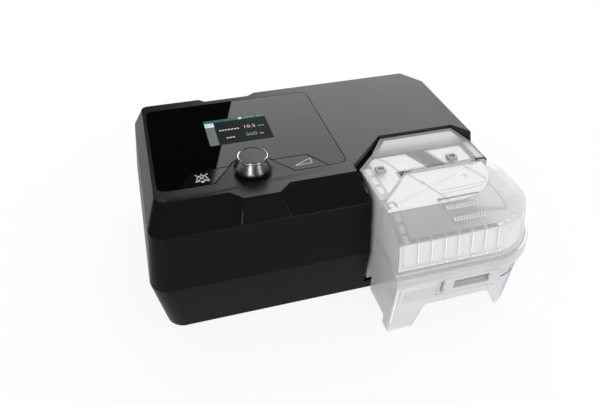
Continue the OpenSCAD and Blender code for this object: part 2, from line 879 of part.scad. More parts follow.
module impeller() {
    blades = 11;
    plate_z = scroll_h - 6;
    color("white") blower_place() union() {
        translate([0, 0, plate_z]) cylinder(r = impeller_r, h = 1.5, $fn = curve_fn);
        translate([0, 0, plate_z - 8]) cylinder(r = 6, h = 9, $fn = curve_fn);
        for (i = [0 : blades - 1]) rotate(i * 360 / blades)
            translate([5, -0.6, plate_z - 10]) rotate([0, 0, 14]) cube([impeller_r - 8, 1.2, 10.1]);
        translate([0, 0, plate_z]) cylinder(r = motor_shaft_r, h = scroll_h - plate_z + 12, $fn = round_fn);
    }
}

module blower_motor() {
    color("#606468") blower_place() translate([0, 0, scroll_h]) difference() {
        union() {
            cylinder(r = 16, h = 20, $fn = curve_fn);
            translate([0, 0, 20]) cylinder(r = 5, h = 3, $fn = curve_fn);
        }
        translate([0, 0, -1]) cylinder(r = motor_shaft_r + 0.05, h = 13.5, $fn = round_fn);
    }
}

module blower_mounts() {
    color("#444444") for (a = [60, 180, 300])
        translate([blower_x + 26 * cos(a), blower_y + 26 * sin(a), base_floor_z])
            cylinder(r = 5, h = blower_z - base_floor_z, $fn = round_fn);
}

module pipe(l, r, t) {
    difference() {
        cylinder(r = r, h = l, $fn = 48);
        translate([0, 0, -1]) cylinder(r = r - t, h = l + 2, $fn = 48);
    }
}

// Soft duct from the scroll's mouth, behind the bay, to the bay's air inlet
module blower_duct() {
    color("#505050") difference() {
        duct_runs(duct_r, 0);
        duct_runs(duct_r - duct_wall, 1);
    }
}

// The duct's four straight runs; each reaches r past its corners and e past its open ends
module duct_runs(r, e) {
    mouth = blower_x + scroll_r + scroll_grow - duct_r;
    back = pocket_back + wall;
    translate([mouth, duct_y - duct_r - e, duct_low_z]) rotate([-90, 0, 0])
        cylinder(r = r, h = duct_r + e + r, $fn = 48);
    translate([mouth - r, duct_y, duct_low_z]) rotate([0, 90, 0])
        cylinder(r = r, h = inlet_x - mouth + 2 * r, $fn = 48);
    translate([inlet_x, duct_y, duct_low_z - r]) cylinder(r = r, h = port_z - duct_low_z + 2 * r, $fn = 48);
    translate([inlet_x, back - e, port_z]) rotate([-90, 0, 0])
        cylinder(r = r, h = duct_y - back + e + r, $fn = 48);
}

// Rigid duct from the bay's air outlet to the hose stub on the back
module outlet_duct() {
    back = pocket_back + wall;
    color("#3a3a3c") translate([outlet_x, 0, port_z]) rotate([-90, 0, 0]) difference() {
        union() {
            translate([0, 0, back]) cylinder(r = outlet_r, h = hose_start_y + 1 - back, $fn = 48);
            translate([0, 0, hose_start_y]) cylinder(r = hose_r, h = hose_l, $fn = 48);
        }
        translate([0, 0, back - 1]) cylinder(r = hose_bore_r, h = far, $fn = 48);
    }
}

module bay_seals() {
    color("#222222") for (x = [inlet_x, outlet_x])
        translate([x, tank_y + cap_swell + 0.05, port_z]) rotate([-90, 0, 0])
            pipe(bay_gap - cap_swell - 0.05, port_r + 3, 2.2);
}

module air_filter() {
    color("white") translate([door_x - door_w / 2 + 0.5, door_y - 13.9, door_z + 0.2])
        cube([door_w - 1, 13.2, door_h - 0.6]);
}

module filter_door() {
    axis_z = door_z + door_pin_r + 0.6;
    color(near_black) union() {
        difference() {
            translate([door_x - door_w / 2 + 0.4, door_y, axis_z])
                cube([door_w - 0.8, door_t, door_h - door_pin_r - 1.2]);
            for (i = [0 : 4])
                translate([door_x - door_w / 2 + 7, door_y - 1, door_z + 7 + i * 5])
                    cube([door_w - 14, door_t + 2, 2.2]);
        }
        translate([door_x - door_w / 2 - door_end + 0.2, door_y + door_t / 2, axis_z])
            rotate([0, 90, 0])
                cylinder(r = door_pin_r, h = door_w + 2 * door_end - 0.4, $fn = round_fn);
    }
}

module muffler_foam() {
    color("#555555") translate([left_x + 14, -18, base_floor_z]) cube([16, 70, 34]);
}

// Plate that warms the tank; its flange stops it under the bay's floor
module heater_plate() {
    color("silver") translate([heater_x, heater_y, heater_low]) union() {
        cylinder(r = heater_flange_r, h = heater_flange_t, $fn = curve_fn);
        cylinder(r = heater_r, h = heater_top - heater_low, $fn = curve_fn);
    }
}

module spring_places() {
    for (a = [30 : 120 : 270])
        translate([heater_x + spring_circle_r * cos(a), heater_y + spring_circle_r * sin(a), 0]) children();
}

module heater_springs() {
    color("silver") spring_places() translate([0, 0, base_floor_z])
        pipe(heater_low - base_floor_z, spring_r, spring_r - spring_bore_r);
}

module power_inlet() {
    color("#222222") translate([jack_x, pocket_floor_y - wall - 12, jack_z]) union() {
        difference() {
            union() {
                translate([-7, 0, -5.5]) cube([14, 12, 11]);
                translate([0, 11.9, 0]) rotate([-90, 0, 0]) cylinder(r = 5.5, h = wall + 0.8, $fn = 48);
            }
            translate([0, 4, 0]) rotate([-90, 0, 0]) cylinder(r = 3.2, h = 20, $fn = 48);
        }
        translate([0, 3.5, 0]) rotate([-90, 0, 0]) cylinder(r = 1, h = 9, $fn = round_fn);
    }
}

module card_socket() {
    color("silver") translate([card_x - 12, pocket_floor_y - wall - 18, card_z + 3.4]) difference() {
        cube([24, 18, 6]);
        translate([3, 4, 2]) cube([18, 20, 3]);
    }
}

module card_door() {
    color(near_black) translate([card_x, card_axis_y, card_z]) union() {
        rotate([0, 90, 0]) cylinder(r = 1.2, h = card_w, center = true, $fn = round_fn);
        rotate([0, 90, 0]) cylinder(r = card_pin_r, h = card_w + 4, center = true, $fn = round_fn);
        translate([-card_w / 2, -1.2, 0]) cube([card_w, 2.4, card_h]);
    }
}

module speaker() {
    color("#333333") translate([bay_x - 32, -34, base_floor_z]) cylinder(r = 14, h = 9, $fn = 48);
}

module foot_places() {
    for (x = [left_x + 36, right_x - 40], y = [front_y + 36, back_y - 38])
        translate([x, y, 0]) children();
}

module rubber_feet() {
    color("#202020") foot_places() cylinder(r = foot_r, h = foot_h + 1, $fn = 48);
}

module base_screws() {
    color("silver") for (p = boss_points) translate([p[0], p[1], screw_seat_z - 2]) union() {
        cylinder(r = screw_head_r, h = 2, $fn = round_fn);
        cylinder(r = screw_r, h = 2 + screw_l, $fn = round_fn);
    }
}

// ---------- tank ----------

// Corner posts of one level of the tank's outline, for a hull
module tank_level(z, cx, cy, r, front, t = 0, half = false, spread = 0) {
    corner = 1.5;
    q = t * 0.4142;
    translate([cx, cy, z]) intersection() {
        cylinder(r = r - t, h = skin, $fn = curve_fn);
        translate([-far, -far, -1]) cube([2 * far, half ? far : 2 * far, 2]);
    }
    for (p = [
        [tank_x + t, front + t], [tank_x + t, tank_y - tank_slant - q],
        [tank_x + tank_slant + q, tank_y - t], [tank_in_right - t, tank_y - t],
        [min(cx + r - t, cx + r - t), wide_y - t]
    ])
        translate([p[0] + (p[0] > cx ? -corner : corner), p[1] + (p[1] > cy ? -corner : corner), z])
            cylinder(r = corner + spread, h = skin, $fn = 16);
}

// What stands outside the tank's plan, beside the bay's right rail
module tank_notch(t = 0) {
    translate([tank_in_right - t, wide_y - t, -1]) cube([far, far, far]);
}

// The whole upper half of the tank, t inside its outer face. Its corners swell a little downwards,
// so that the moulding leaves its tool.
module tank_cap(t = 0) {
    difference() {
        hull() {
            tank_level(tank_h - skin - t, flat_x, flat_y, flat_r, crease_y, t, true);
            tank_level(rim_z - t * 0.5, rim_x, rim_y, rim_r, rim_front, t, spread = cap_swell * (tank_h - rim_z) / (tank_h - lid_z));
            tank_level(t > 0 ? lid_z - 1 : lid_z, big_x, big_y + 1, joint_r, joint_front, t,
                spread = cap_swell);
        }
        tank_notch(t);
    }
}

// Everything in front of the lid's split line; g moves the line forward
module lid_side(g = 0) {
    x0 = tank_x - 10;
    translate([0, 0, 1]) linear_extrude(height = far) polygon([
        [hinge_left, hinge_y - g], [far, hinge_y - g], [far, -far], [x0, -far],
        [x0, hinge_y - g - (hinge_left - x0)]
    ]);
}

module hinge_line(x0, x1, r) {
    translate([x0, hinge_y, hinge_z]) rotate([0, 90, 0]) cylinder(r = r, h = x1 - x0, $fn = 48);
}

module tank_lid() {
    color(clear_grey, 0.7) difference() {
        union() {
            difference() {
                tank_cap();
                tank_cap(tank_wall);
            }
            hinge_line(barrel_left, barrel_right, barrel_r);
        }
        difference() {
            translate([-far / 2, -far / 2, 0]) cube([far, far, far]);
            lid_side(lid_gap / 2);
            hinge_line(barrel_left, barrel_right, barrel_r);
        }
        for (x = [hinge_left - 1, barrel_right])
            translate([x - 0.1, hinge_y - barrel_r - lid_gap, hinge_z - barrel_r - 1])
                cube([barrel_left - hinge_left + 1.1, far, far]);
        hinge_line(hinge_left - 5, tank_in_right, pin_r + 0.05);
    }
}

// The rear flange over the bay's step: it rises to the rear edge, t inside its outer face
module rear_ramp(t = 0) {
    right = top_right_x - 1 - t;
    low = flange_low - (t > 0 ? 1 : 0);
    back = bay_back_y - rear_gap - t;
    left = bay_x + bay_slant + rear_gap * 0.4142 + t;
    end_x = bay_end_x - (rear_gap + t) * (bay_n - 1) / bay_m;
    end_y = bay_back_y - bay_m * (right - bay_end_x) - (rear_gap + t) * bay_n;
    front = tank_y - tank_wall / 2 + t;
    hull() {
        translate([0, 0, low]) linear_extrude(height = flange_top - t - low) polygon([
            [tank_x + tank_slant + t, front], [left, back], [end_x, back], [right, end_y], [right, front]
        ]);
        translate([0, 0, body_h - rear_lip - 1 - t]) linear_extrude(height = 1)
            polygon([[left, back], [end_x, back], [end_x - 1.5, back - 1.5], [left + 1, back - 1.5]]);
    }
}

module tank_rear_top() {
    color(clear_grey, 0.7) difference() {
        union() {
            difference() {
                rear_ramp();
                rear_ramp(1.8);
            }
            translate([tank_in_right - tank_wall / 2, hinge_y + hinge_room + 0.6, flange_low])
                cube([
                    top_right_x - 1 - tank_in_right + tank_wall / 2,
                    tank_y - hinge_y - hinge_room - 0.6, flange_top - flange_low
                ]);
            // Upright wall that joins the flange to the tank, also where the step is higher than the tank
            translate([tank_x + tank_slant + 1, tank_y - tank_wall / 2, tank_h - 4])
                cube([tank_in_right - tank_x - tank_slant - 3, tank_wall / 2 - 0.2, flange_top - tank_h + 4]);
            difference() {
                tank_cap();
                // The hollow, which stops at the fixed part's own front wall
                difference() {
                    tank_cap(tank_wall);
                    translate([hinge_left - 6, hinge_y + hinge_room - 1, 0])
                        cube([far, tank_wall + 1, far]);
                }
                lid_side(-lid_gap / 2);
                translate([hinge_left - 6, hinge_y - 10, lid_z - 1]) cube([far, 10 + hinge_room, far]);
            }
            // Two ears for the hinge pin
            for (x = [barrel_left - ear_w, barrel_right + 0.4]) {
                hinge_line(x, x + ear_w - 0.4, barrel_r);
                translate([x, hinge_y, hinge_z - barrel_r + 0.1])
                    cube([ear_w - 0.4, hinge_room + 0.2, 2 * barrel_r - 0.2]);
            }
        }
        for (x = [inlet_x, outlet_x])
            translate([x, tank_y - tank_wall - 1, port_z]) rotate([-90, 0, 0])
                cylinder(r = port_r, h = tank_wall + 2, $fn = 48);
        translate([inlet_x - 12, hinge_y, lid_z + 8]) cube([54, 20, 18]);
        hinge_line(hinge_left - 5, tank_in_right - tank_wall, pin_r);
    }
}

module lid_hinge_pin() {
    color("silver") hinge_line(barrel_left - ear_w, barrel_right + ear_w, pin_r);
}

module lid_gasket() {
    color("#8a8f92") translate([0, 0, joint_z]) linear_extrude(height = gasket_t) difference() {
        tank_plan(0.8);
        tank_plan(tank_wall + 0.6);
    }
}

// Plan of the tank at its joint, t inside the outer face
module tank_plan(t) {
    cx = big_x;
    cy = big_y + 1;
    polygon(concat(
        [[tank_x + t, joint_front + t]],
        [for (i = [0 : 18]) let (a = -90 + i * 5) [cx + (joint_r - t) * cos(a), cy + (joint_r - t) * sin(a)]],
        [[cx + joint_r - t, wide_y - t], [tank_in_right - t, wide_y - t], [tank_in_right - t, tank_y - t],
         [tank_x + tank_slant + t * 0.4142, tank_y - t], [tank_x + t, tank_y - tank_slant - t * 0.4142]]
    ));
}

module tub_level(z, r, t = 0) {
    tank_level(z, big_x, big_y + (band_r - r) * 0.2, r, big_y + (band_r - r) * 0.2 - r, t);
}

module tank_tub() {
    color(clear_grey, 0.7) difference() {
        union() {
            difference() {
                union() {
                    hull() {
                        tub_level(band_z, band_r);
                        tub_level(joint_z - skin, band_r - 0.6);
                    }
                    difference() {
                        hull() {
                            tub_level(band_z, bowl_r);
                            tub_level(0, bowl_foot_r);
                        }
                        // Open under the floor, behind the front skirt
                        translate([-far, skirt_back, -1]) cube([2 * far, far, arch_z + 1]);
                        translate([-far, rim_front + leg_d, -1]) cube([2 * far, far, skirt_z + 1]);
                        hull() {
                            tub_level(-1, bowl_foot_r, tank_wall);
                            tub_level(arch_z, bowl_foot_r + 0.5, tank_wall);
                        }
                    }
                    well(0);
                }
                tank_notch();
                wide_notch(0);
                difference() {
                    hull() {
                        tub_level(tub_floor_z, bowl_foot_r + 1, tank_wall);
                        tub_level(joint_z + 1, joint_r, tank_wall);
                    }
                    tank_notch(tank_wall);
                    wide_notch(tank_wall);
                }
                well(tank_wall);
                arch();
            }
            latch_block();
        }
        latch_seat();
        translate([latch_x - 15.5, tank_front_y - 1, arch_z + 3]) cube([23, 4.6, 6.5]);
        translate([heater_x, heater_y, tub_bottom_z - 1])
            cylinder(r = heat_disc_r, h = tank_wall + 2, $fn = curve_fn);
    }
}

// Room for the body's shelf under the tank's wide front
module wide_notch(t) {
    translate([tank_in_right - t, skirt_back - t, -1]) cube([far, far, wide_low_z + t + 1]);
}

// The deep back part of the tub, which stands on the heater plate
module well(t) {
    q = t * 0.4142;
    top = t > 0 ? joint_z + 1 : joint_z;
    z = t > 0 ? tub_bottom_z + t : tub_bottom_z;
    translate([0, 0, z]) linear_extrude(height = top - z) polygon([
        [tank_x + t, well_front + t], [tank_x + t, tank_y - tank_slant - q],
        [tank_x + tank_slant + q, tank_y - t], [tank_in_right - t, tank_y - t],
        [tank_in_right - t, well_front + t]
    ]);
}

module arch() {
    translate([0, rim_front + leg_d + 2, 0]) rotate([90, 0, 0]) linear_extrude(height = 60)
        polygon([
            [arch_left, -1], [arch_left + arch_lean, arch_z - 2.5], [arch_left + arch_lean + 3, arch_z],
            [arch_top_right, arch_z], [arch_right - 0.6, -1]
        ]);
}

// Thick part of the tub's wall that carries the latch
module latch_block() {
    low = latch_low - 6;
    translate([latch_x - latch_w / 2 - 4, 0, 0]) rotate([90, 0, 90]) linear_extrude(height = latch_w + 8)
        polygon([
            [tank_front_y + 3, band_z + 0.5], [tank_front_y + 4.2, low],
            [latch_seat_y + 2.4, low], [latch_seat_y + 2.4, band_z + 0.5]
        ]);
}

module latch_seat() {
    low = latch_low - 3.2;
    translate([latch_x - latch_w / 2 - latch_room, tank_front_y - 1, low])
        cube([latch_w + 2 * latch_room, latch_seat_y - tank_front_y + 1, latch_high - low + latch_room]);
    latch_line(latch_pin_r + 0.05, latch_w + 2 * latch_pin_l + 0.4);
}

module latch_line(r, l) {
    translate([latch_x, latch_axis_y, latch_low]) rotate([0, 90, 0])
        cylinder(r = r, h = l, center = true, $fn = round_fn);
}

module tank_latch() {
    color(clear_grey, 0.8) union() {
        difference() {
            translate([latch_x - latch_w / 2, latch_front, latch_low])
                cube([latch_w, latch_t, latch_high - latch_low]);
            translate([latch_x - finger_w / 2, latch_front - 1, latch_high - 3 - finger_h])
                cube([finger_w, latch_t + 4, finger_h]);
        }
        translate([latch_x - latch_w / 2, latch_front, latch_low - latch_pin_r])
            cube([latch_w, latch_axis_y - latch_front, latch_pin_r + 1]);
        latch_line(latch_pin_r, latch_w + 2 * latch_pin_l);
    }
}

module tank_heat_plate() {
    color("silver") translate([heater_x, heater_y, tub_bottom_z])
        cylinder(r = heat_disc_r - 0.05, h = tank_wall, $fn = curve_fn);
}

// Slanted wall under the lid that leads the air over the water
module air_guide() {
    z = rim_z - 12;
    top = rim_z + 2;
    color(clear_grey, 0.7) union() {
        translate([0, 0, z]) linear_extrude(height = top - z) difference() {
            guide_plan(0);
            guide_plan(1.6);
        }
        for (p = [[tank_x + 45, hinge_y - 16], [tank_x + 84, hinge_y - 16]])
            translate([p[0], p[1], z]) cylinder(r = 2, h = tank_h - tank_wall - z, $fn = round_fn);
        for (p = [[tank_x + 45, hinge_y - 16], [tank_x + 84, hinge_y - 16]])
            translate([p[0] - 6, p[1] - 1, z]) cube([12, 2, 4]);
    }
}

module guide_plan(t) {
    polygon([
        [tank_x + 37 + t * 1.3, hinge_y - 5 - t], [tank_x + 85 - t * 0.8, hinge_y - 5 - t],
        [tank_x + 102 - t * 1.3, hinge_y - 48 + t], [tank_x + 55 + t * 0.8, hinge_y - 48 + t]
    ]);
}

module duct_seal() {
    z = tank_h - tank_wall - 2.5;
    color("#111111") translate([0, 0, z]) linear_extrude(height = 2.5) polygon([
        [tank_x + 48.3, tank_y - tank_wall], [tank_x + 58.8, hinge_y + hinge_room + tank_wall],
        [tank_x + 75.2, hinge_y + hinge_room + tank_wall], [tank_x + 66, tank_y - tank_wall]
    ]);
}

module tank_clips() {
    color("#1c1c1c") for (p = [[tank_x + 15.7, tank_y - 25], [tank_x + 82.6, tank_y - 23.5]])
        translate([p[0] - 4, p[1] - 3.5, tank_h]) difference() {
            cube([8, 7, 3]);
            translate([1.5, 1.5, 1.5]) cube([5, 4, 3]);
        }
}

// Full line printed round the tub's front corner
module level_mark() {
    r = bowl_foot_r + (bowl_r - bowl_foot_r) * mark_z / band_z;
    // It starts a little to the right of the latch
    start = -acos((latch_x + latch_w / 2 + 6.4 - big_x) / r);
    color("#2a5fb0") translate([big_x, big_y + (band_r - r) * 0.2, mark_z]) intersection() {
        difference() {
            cylinder(r = r + 0.35, h = 1.1, $fn = curve_fn);
            translate([0, 0, -1]) cylinder(r = r + 0.1, h = 4, $fn = curve_fn);
        }
        translate([0, 0, -1]) linear_extrude(height = 4) polygon([
            [0, 0], [80 * cos(start), 80 * sin(start)], [80 * cos(start + 18), 80 * sin(start + 18)]
        ]);
    }
}

base_shell();
middle_frame();
top_cover();
bay_liner();
control_glass();
display_panel();
knob_body();
knob_ring();
knob_cap();
knob_shaft();
encoder();
mute_button();
ramp_button();
button_switches();
main_board();
board_screws();
blower_scroll();
blower_cover();
impeller();
blower_motor();
blower_mounts();
filter_door();
air_filter();
muffler_foam();
blower_duct();
outlet_duct();
bay_seals();
heater_plate();
heater_springs();
power_inlet();
card_door();
card_socket();
speaker();
rubber_feet();
base_screws();
tank_tub();
tank_heat_plate();
tank_rear_top();
tank_lid();
lid_gasket();
lid_hinge_pin();
air_guide();
duct_seal();
tank_clips();
tank_latch();
level_mark();
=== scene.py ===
# %% [markdown]
# # A bedside breathing-therapy machine
# The machine is a dark moulded box with a glossy control panel, a metal dial and a clear water tank that
# stands in a bay at its right front corner. The construction comes from the CAD model. This lesson gives
# it its finish: rounded moulded edges, surfaces, the screen, printed marks and the tank's fine detail.
#
# The first step loads the CAD model. Each CAD part arrives as a mesh in metres, already in its place.

# %% Load the CAD model
import json
import math

import bmesh
import bpy
from mathutils import Matrix, Vector
from mathutils.bvhtree import BVHTree

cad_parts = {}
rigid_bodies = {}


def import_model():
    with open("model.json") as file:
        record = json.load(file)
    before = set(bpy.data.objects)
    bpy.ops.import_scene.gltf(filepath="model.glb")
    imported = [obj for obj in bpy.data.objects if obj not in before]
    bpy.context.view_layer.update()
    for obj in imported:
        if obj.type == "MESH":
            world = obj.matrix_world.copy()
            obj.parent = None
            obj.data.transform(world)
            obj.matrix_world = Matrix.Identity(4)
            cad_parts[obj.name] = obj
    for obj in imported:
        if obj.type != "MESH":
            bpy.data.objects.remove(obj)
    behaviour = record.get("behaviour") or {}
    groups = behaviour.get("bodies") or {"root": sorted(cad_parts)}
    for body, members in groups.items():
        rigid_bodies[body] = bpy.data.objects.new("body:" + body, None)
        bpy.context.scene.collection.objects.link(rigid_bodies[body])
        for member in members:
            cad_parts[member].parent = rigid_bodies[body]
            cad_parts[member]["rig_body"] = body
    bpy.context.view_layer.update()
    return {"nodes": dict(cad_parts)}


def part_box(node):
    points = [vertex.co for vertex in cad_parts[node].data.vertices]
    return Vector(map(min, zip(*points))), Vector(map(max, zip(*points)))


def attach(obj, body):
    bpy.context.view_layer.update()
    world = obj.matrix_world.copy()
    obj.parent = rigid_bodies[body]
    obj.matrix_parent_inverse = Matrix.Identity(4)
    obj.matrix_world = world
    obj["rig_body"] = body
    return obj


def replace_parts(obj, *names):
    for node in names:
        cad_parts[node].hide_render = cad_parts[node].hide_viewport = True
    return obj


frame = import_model()
scene = bpy.context.scene

# %% [markdown]
# Sizes on a small appliance are easiest to think of in millimetres, while Blender's scene is in metres.
# One constant turns one into the other. The main heights and edges are read from the CAD parts' own boxes,
# so that the details keep to the surfaces they lie on.

# %% Named places on the machine
MM = 0.001
UP, FORWARD, LEFTWARD = Vector((0, 0, 1)), Vector((0, -1, 0)), Vector((-1, 0, 0))


def node_box(node):
    """Lowest and highest corner of a CAD part, in millimetres."""
    low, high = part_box(node)
    return Vector(low) / MM, Vector(high) / MM


screen_low, screen_high = node_box("display_panel")
dial_low, dial_high = node_box("knob_body")
cap_low, cap_high = node_box("knob_cap")
tub_low = node_box("tank_tub")[0]
rear_high = node_box("tank_rear_top")[1]
dial_x = (dial_low.x + dial_high.x) / 2
dial_y = (dial_low.y + dial_high.y) / 2
top_z = node_box("control_glass")[1].z
tank_top = node_box("tank_lid")[1].z
print(f"top at {top_z:.1f} mm, dial at {dial_x:.1f}, {dial_y:.1f} mm, tank top at {tank_top:.1f} mm")

# %% [markdown]
# ## Camera
# The photograph looks down on the machine from its left front. A camera is only a place, a direction and a
# lens. All three were worked out from the lines of the box that run together in the photograph.

# %% Camera
LENS, SENSOR_W = 34.74, 36  # millimetres
CAMERA_PLACE = (-0.1339, -0.3995, 0.3933)  # metres
CAMERA_TILT, CAMERA_TURN = 51.6, -15.76  # degrees

camera_data = bpy.data.cameras.new("photo_view")
camera_data.lens = LENS
camera_data.sensor_width = SENSOR_W
camera = bpy.data.objects.new("photo_view", camera_data)
camera.location = CAMERA_PLACE
camera.rotation_euler = (math.radians(CAMERA_TILT), 0, math.radians(CAMERA_TURN))
scene.collection.objects.link(camera)
scene.camera = camera
scene.view_settings.view_transform = "Standard"
print(f"camera {camera_data.lens} mm at {tuple(camera.location)}")

# %% [markdown]
# ## Studio
# Dark glossy plastic shows the lamps more than its own colour. The glass in the photograph is black on the
# left and grey on the right, with one straight slanted edge between. That edge is the left side of a large
# soft box behind the machine, so the soft box is hung where the glass mirrors it there.
#
# A fill lamp in front lights the front walls. It doesn't show in reflections, so they stay dark. Two upright
# strip lamps beside it do show, as the bright streaks on the dial and the soft ones on the clear tank.

# %% Soft box, fill and strips
SOFT_BOX_EDGE = Vector((0.115, 2.0, 1.49))  # a point on its left side, metres
SOFT_BOX_LEAN = math.radians(15.9)
SOFT_BOX_W, SOFT_BOX_H = 3.4, 2.7
SOFT_BOX_LEVEL = 2.1  # brightness, where 1 is white
FILL_PLACE = Vector((0.15, -2.1, 1.6))
FILL_SIZE, FILL_LEVEL = 1.4, 2.7
STRIP_Y, STRIP_Z, STRIP_TALL = -1.35, 0.45, 0.9
STRIP_ROWS = (("left_strip", -0.8, 0.34, 5.0), ("right_strip", 0.75, 0.3, 2.5))  # name, x, width, level


def soft_box(name, centre, right, up, width, height, level):
    """A rectangular lamp of one brightness. It faces against right x up."""
    lamp = bpy.data.lights.new(name, "AREA")
    lamp.shape = "RECTANGLE"
    lamp.size, lamp.size_y = width, height
    lamp.energy = level * math.pi * width * height
    holder = bpy.data.objects.new(name, lamp)
    back = right.cross(up).normalized()
    turn = Matrix((right.normalized(), up.normalized(), back)).transposed()
    holder.matrix_world = Matrix.Translation(centre) @ turn.to_4x4()
    scene.collection.objects.link(holder)
    holder.visible_camera = False
    return holder


box_right = Vector((-math.cos(SOFT_BOX_LEAN), 0, -math.sin(SOFT_BOX_LEAN)))
box_up = Vector((-math.sin(SOFT_BOX_LEAN), 0, math.cos(SOFT_BOX_LEAN)))
box_centre = SOFT_BOX_EDGE - box_right * SOFT_BOX_W / 2
soft_box("back_soft_box", box_centre, box_right, box_up, SOFT_BOX_W, SOFT_BOX_H, SOFT_BOX_LEVEL)
fill_right = UP.cross(FILL_PLACE)
fill_up = FILL_PLACE.cross(fill_right)
fill = soft_box("front_fill", FILL_PLACE, fill_right, fill_up, FILL_SIZE, FILL_SIZE, FILL_LEVEL)
fill.visible_glossy = False
for name, x, width, level in STRIP_ROWS:
    place = Vector((x, STRIP_Y, STRIP_Z))
    soft_box(name, place, UP.cross(place), UP, width, STRIP_TALL, level)
print("soft box centre", [round(c, 2) for c in box_centre])

# %% [markdown]
# The surroundings are white to the camera and through the clear tank, plain grey as a source of light, and
# dark in reflections, because the room round a product table is dark. One world can do all three, because
# the Light Path node tells what kind of ray has left the scene.

# %% Surroundings
PLAIN_LEVEL, WHITE_LEVEL, DARK_LEVEL = 0.70, 1.0, 0.012

world = bpy.data.worlds.new("white_studio")
scene.world = world
world.use_nodes = True
wn = world.node_tree.nodes
wn.clear()


def background(level):
    """White light of one brightness; gives its shader socket."""
    node = wn.new("ShaderNodeBackground")
    node.inputs["Color"].default_value = (1, 1, 1, 1)
    node.inputs["Strength"].default_value = level
    return node.outputs[0]


def choice(tree, share, first, second):
    """The first shader where share is 0 and the second where it is 1; gives its socket."""
    node = tree.nodes.new("ShaderNodeMixShader")
    for socket, source in zip(node.inputs, (share, first, second)):
        tree.links.new(source, socket)
    return node.outputs[0]


def math_node(tree, operation, *values):
    """A math node fed by sockets or numbers; gives its output socket."""
    node = tree.nodes.new("ShaderNodeMath")
    node.operation = operation
    for socket, value in zip(node.inputs, values):
        if isinstance(value, (int, float)):
            socket.default_value = value
        else:
            tree.links.new(value, socket)
    return node.outputs[0]


path = wn.new("ShaderNodeLightPath").outputs
seen = math_node(world.node_tree, "MAXIMUM", path["Is Camera Ray"], path["Is Transmission Ray"])
lit_or_dark = choice(world.node_tree, path["Is Glossy Ray"], background(PLAIN_LEVEL), background(DARK_LEVEL))
world_light = choice(world.node_tree, seen, lit_or_dark, background(WHITE_LEVEL))
world.node_tree.links.new(world_light, wn.new("ShaderNodeOutputWorld").inputs["Surface"])
print("surroundings ready")

# %% [markdown]
# A photo studio's white table is so bright that it turns to pure white, yet it keeps a faint shadow. Here the
# floor glows white to the camera, and a small share of it is a real white surface that takes the shadow. The
# share fades out around the machine, so the floor has no edge. Reflections see a dimmer floor.

# %% Floor
FLOOR_HALF = 20.0
FLOOR_SHADOW = 0.13  # share of the floor that takes the machine's shadow, under the machine
FLOOR_NEAR, FLOOR_FAR = 0.16, 0.45  # metres over which that share fades to none
FLOOR_PAINT = 0.9
FLOOR_MIRRORED = 0.7  # how bright reflections see the floor

floor_material = bpy.data.materials.new("studio_floor")
floor_material.use_nodes = True
floor_tree = floor_material.node_tree
fn, fl = floor_tree.nodes, floor_tree.links
fn.clear()
floor_paint = fn.new("ShaderNodeBsdfDiffuse")
floor_paint.inputs["Color"].default_value = (FLOOR_PAINT, FLOOR_PAINT, FLOOR_PAINT, 1)
floor_distance = fn.new("ShaderNodeVectorMath")
floor_distance.operation = "LENGTH"
fl.new(fn.new("ShaderNodeTexCoord").outputs["Object"], floor_distance.inputs[0])
floor_fade = fn.new("ShaderNodeMapRange")
floor_fade.interpolation_type = "SMOOTHSTEP"
for socket, value in (
    ("From Min", FLOOR_NEAR), ("From Max", FLOOR_FAR), ("To Min", 1 - FLOOR_SHADOW), ("To Max", 1.0)
):
    floor_fade.inputs[socket].default_value = value
fl.new(floor_distance.outputs["Value"], floor_fade.inputs["Value"])
floor_path = fn.new("ShaderNodeLightPath").outputs
to_camera = math_node(floor_tree, "MULTIPLY", floor_path["Is Camera Ray"], floor_fade.outputs["Result"])
to_others = math_node(floor_tree, "MAXIMUM", floor_path["Is Glossy Ray"], floor_path["Is Transmission Ray"])
glow_share = math_node(floor_tree, "MAXIMUM", to_camera, to_others)
floor_glow = fn.new("ShaderNodeEmission")
glow_level = math_node(floor_tree, "MULTIPLY_ADD", floor_path["Is Glossy Ray"], FLOOR_MIRRORED - 1, 1.0)
fl.new(glow_level, floor_glow.inputs["Strength"])
floor_light = choice(floor_tree, glow_share, floor_paint.outputs[0], floor_glow.outputs[0])
fl.new(floor_light, fn.new("ShaderNodeOutputMaterial").inputs["Surface"])

floor_mesh = bpy.data.meshes.new("studio_floor")
bm = bmesh.new()
bmesh.ops.create_grid(bm, x_segments=1, y_segments=1, size=FLOOR_HALF)
bm.to_mesh(floor_mesh)
bm.free()
floor_mesh.materials.append(floor_material)
studio_floor = bpy.data.objects.new("studio_floor", floor_mesh)
scene.collection.objects.link(studio_floor)
print("floor", 2 * FLOOR_HALF, "m wide")

# %% [markdown]
# ## Effects that several finishes share
# Moulded plastic is never quite even: the tool leaves a fine grain, and handling leaves broad soft changes
# in gloss. One node group makes both, and a second makes the fine turned lines of machined metal. They
# could be drawn anew in every material, but a group is built once, and each material gives it its own
# values. A group only puts out values, colours and normals; the shader itself stays in the material.

# %% Node group tools
def new_group(name, inputs, outputs):
    """An empty shader node group. inputs gives each name its default; outputs are names."""
    group = bpy.data.node_groups.new(name, "ShaderNodeTree")
    kinds = {"Color": "NodeSocketColor", "Normal": "NodeSocketVector"}  # the others are plain numbers
    for side, labels in (("INPUT", inputs), ("OUTPUT", outputs)):
        for label in labels:
            kind = kinds.get(label, "NodeSocketFloat")
            socket = group.interface.new_socket(label, in_out=side, socket_type=kind)
            if side == "INPUT":
                socket.default_value = inputs[label]
    return group, group.nodes.new("NodeGroupInput").outputs, group.nodes.new("NodeGroupOutput").inputs


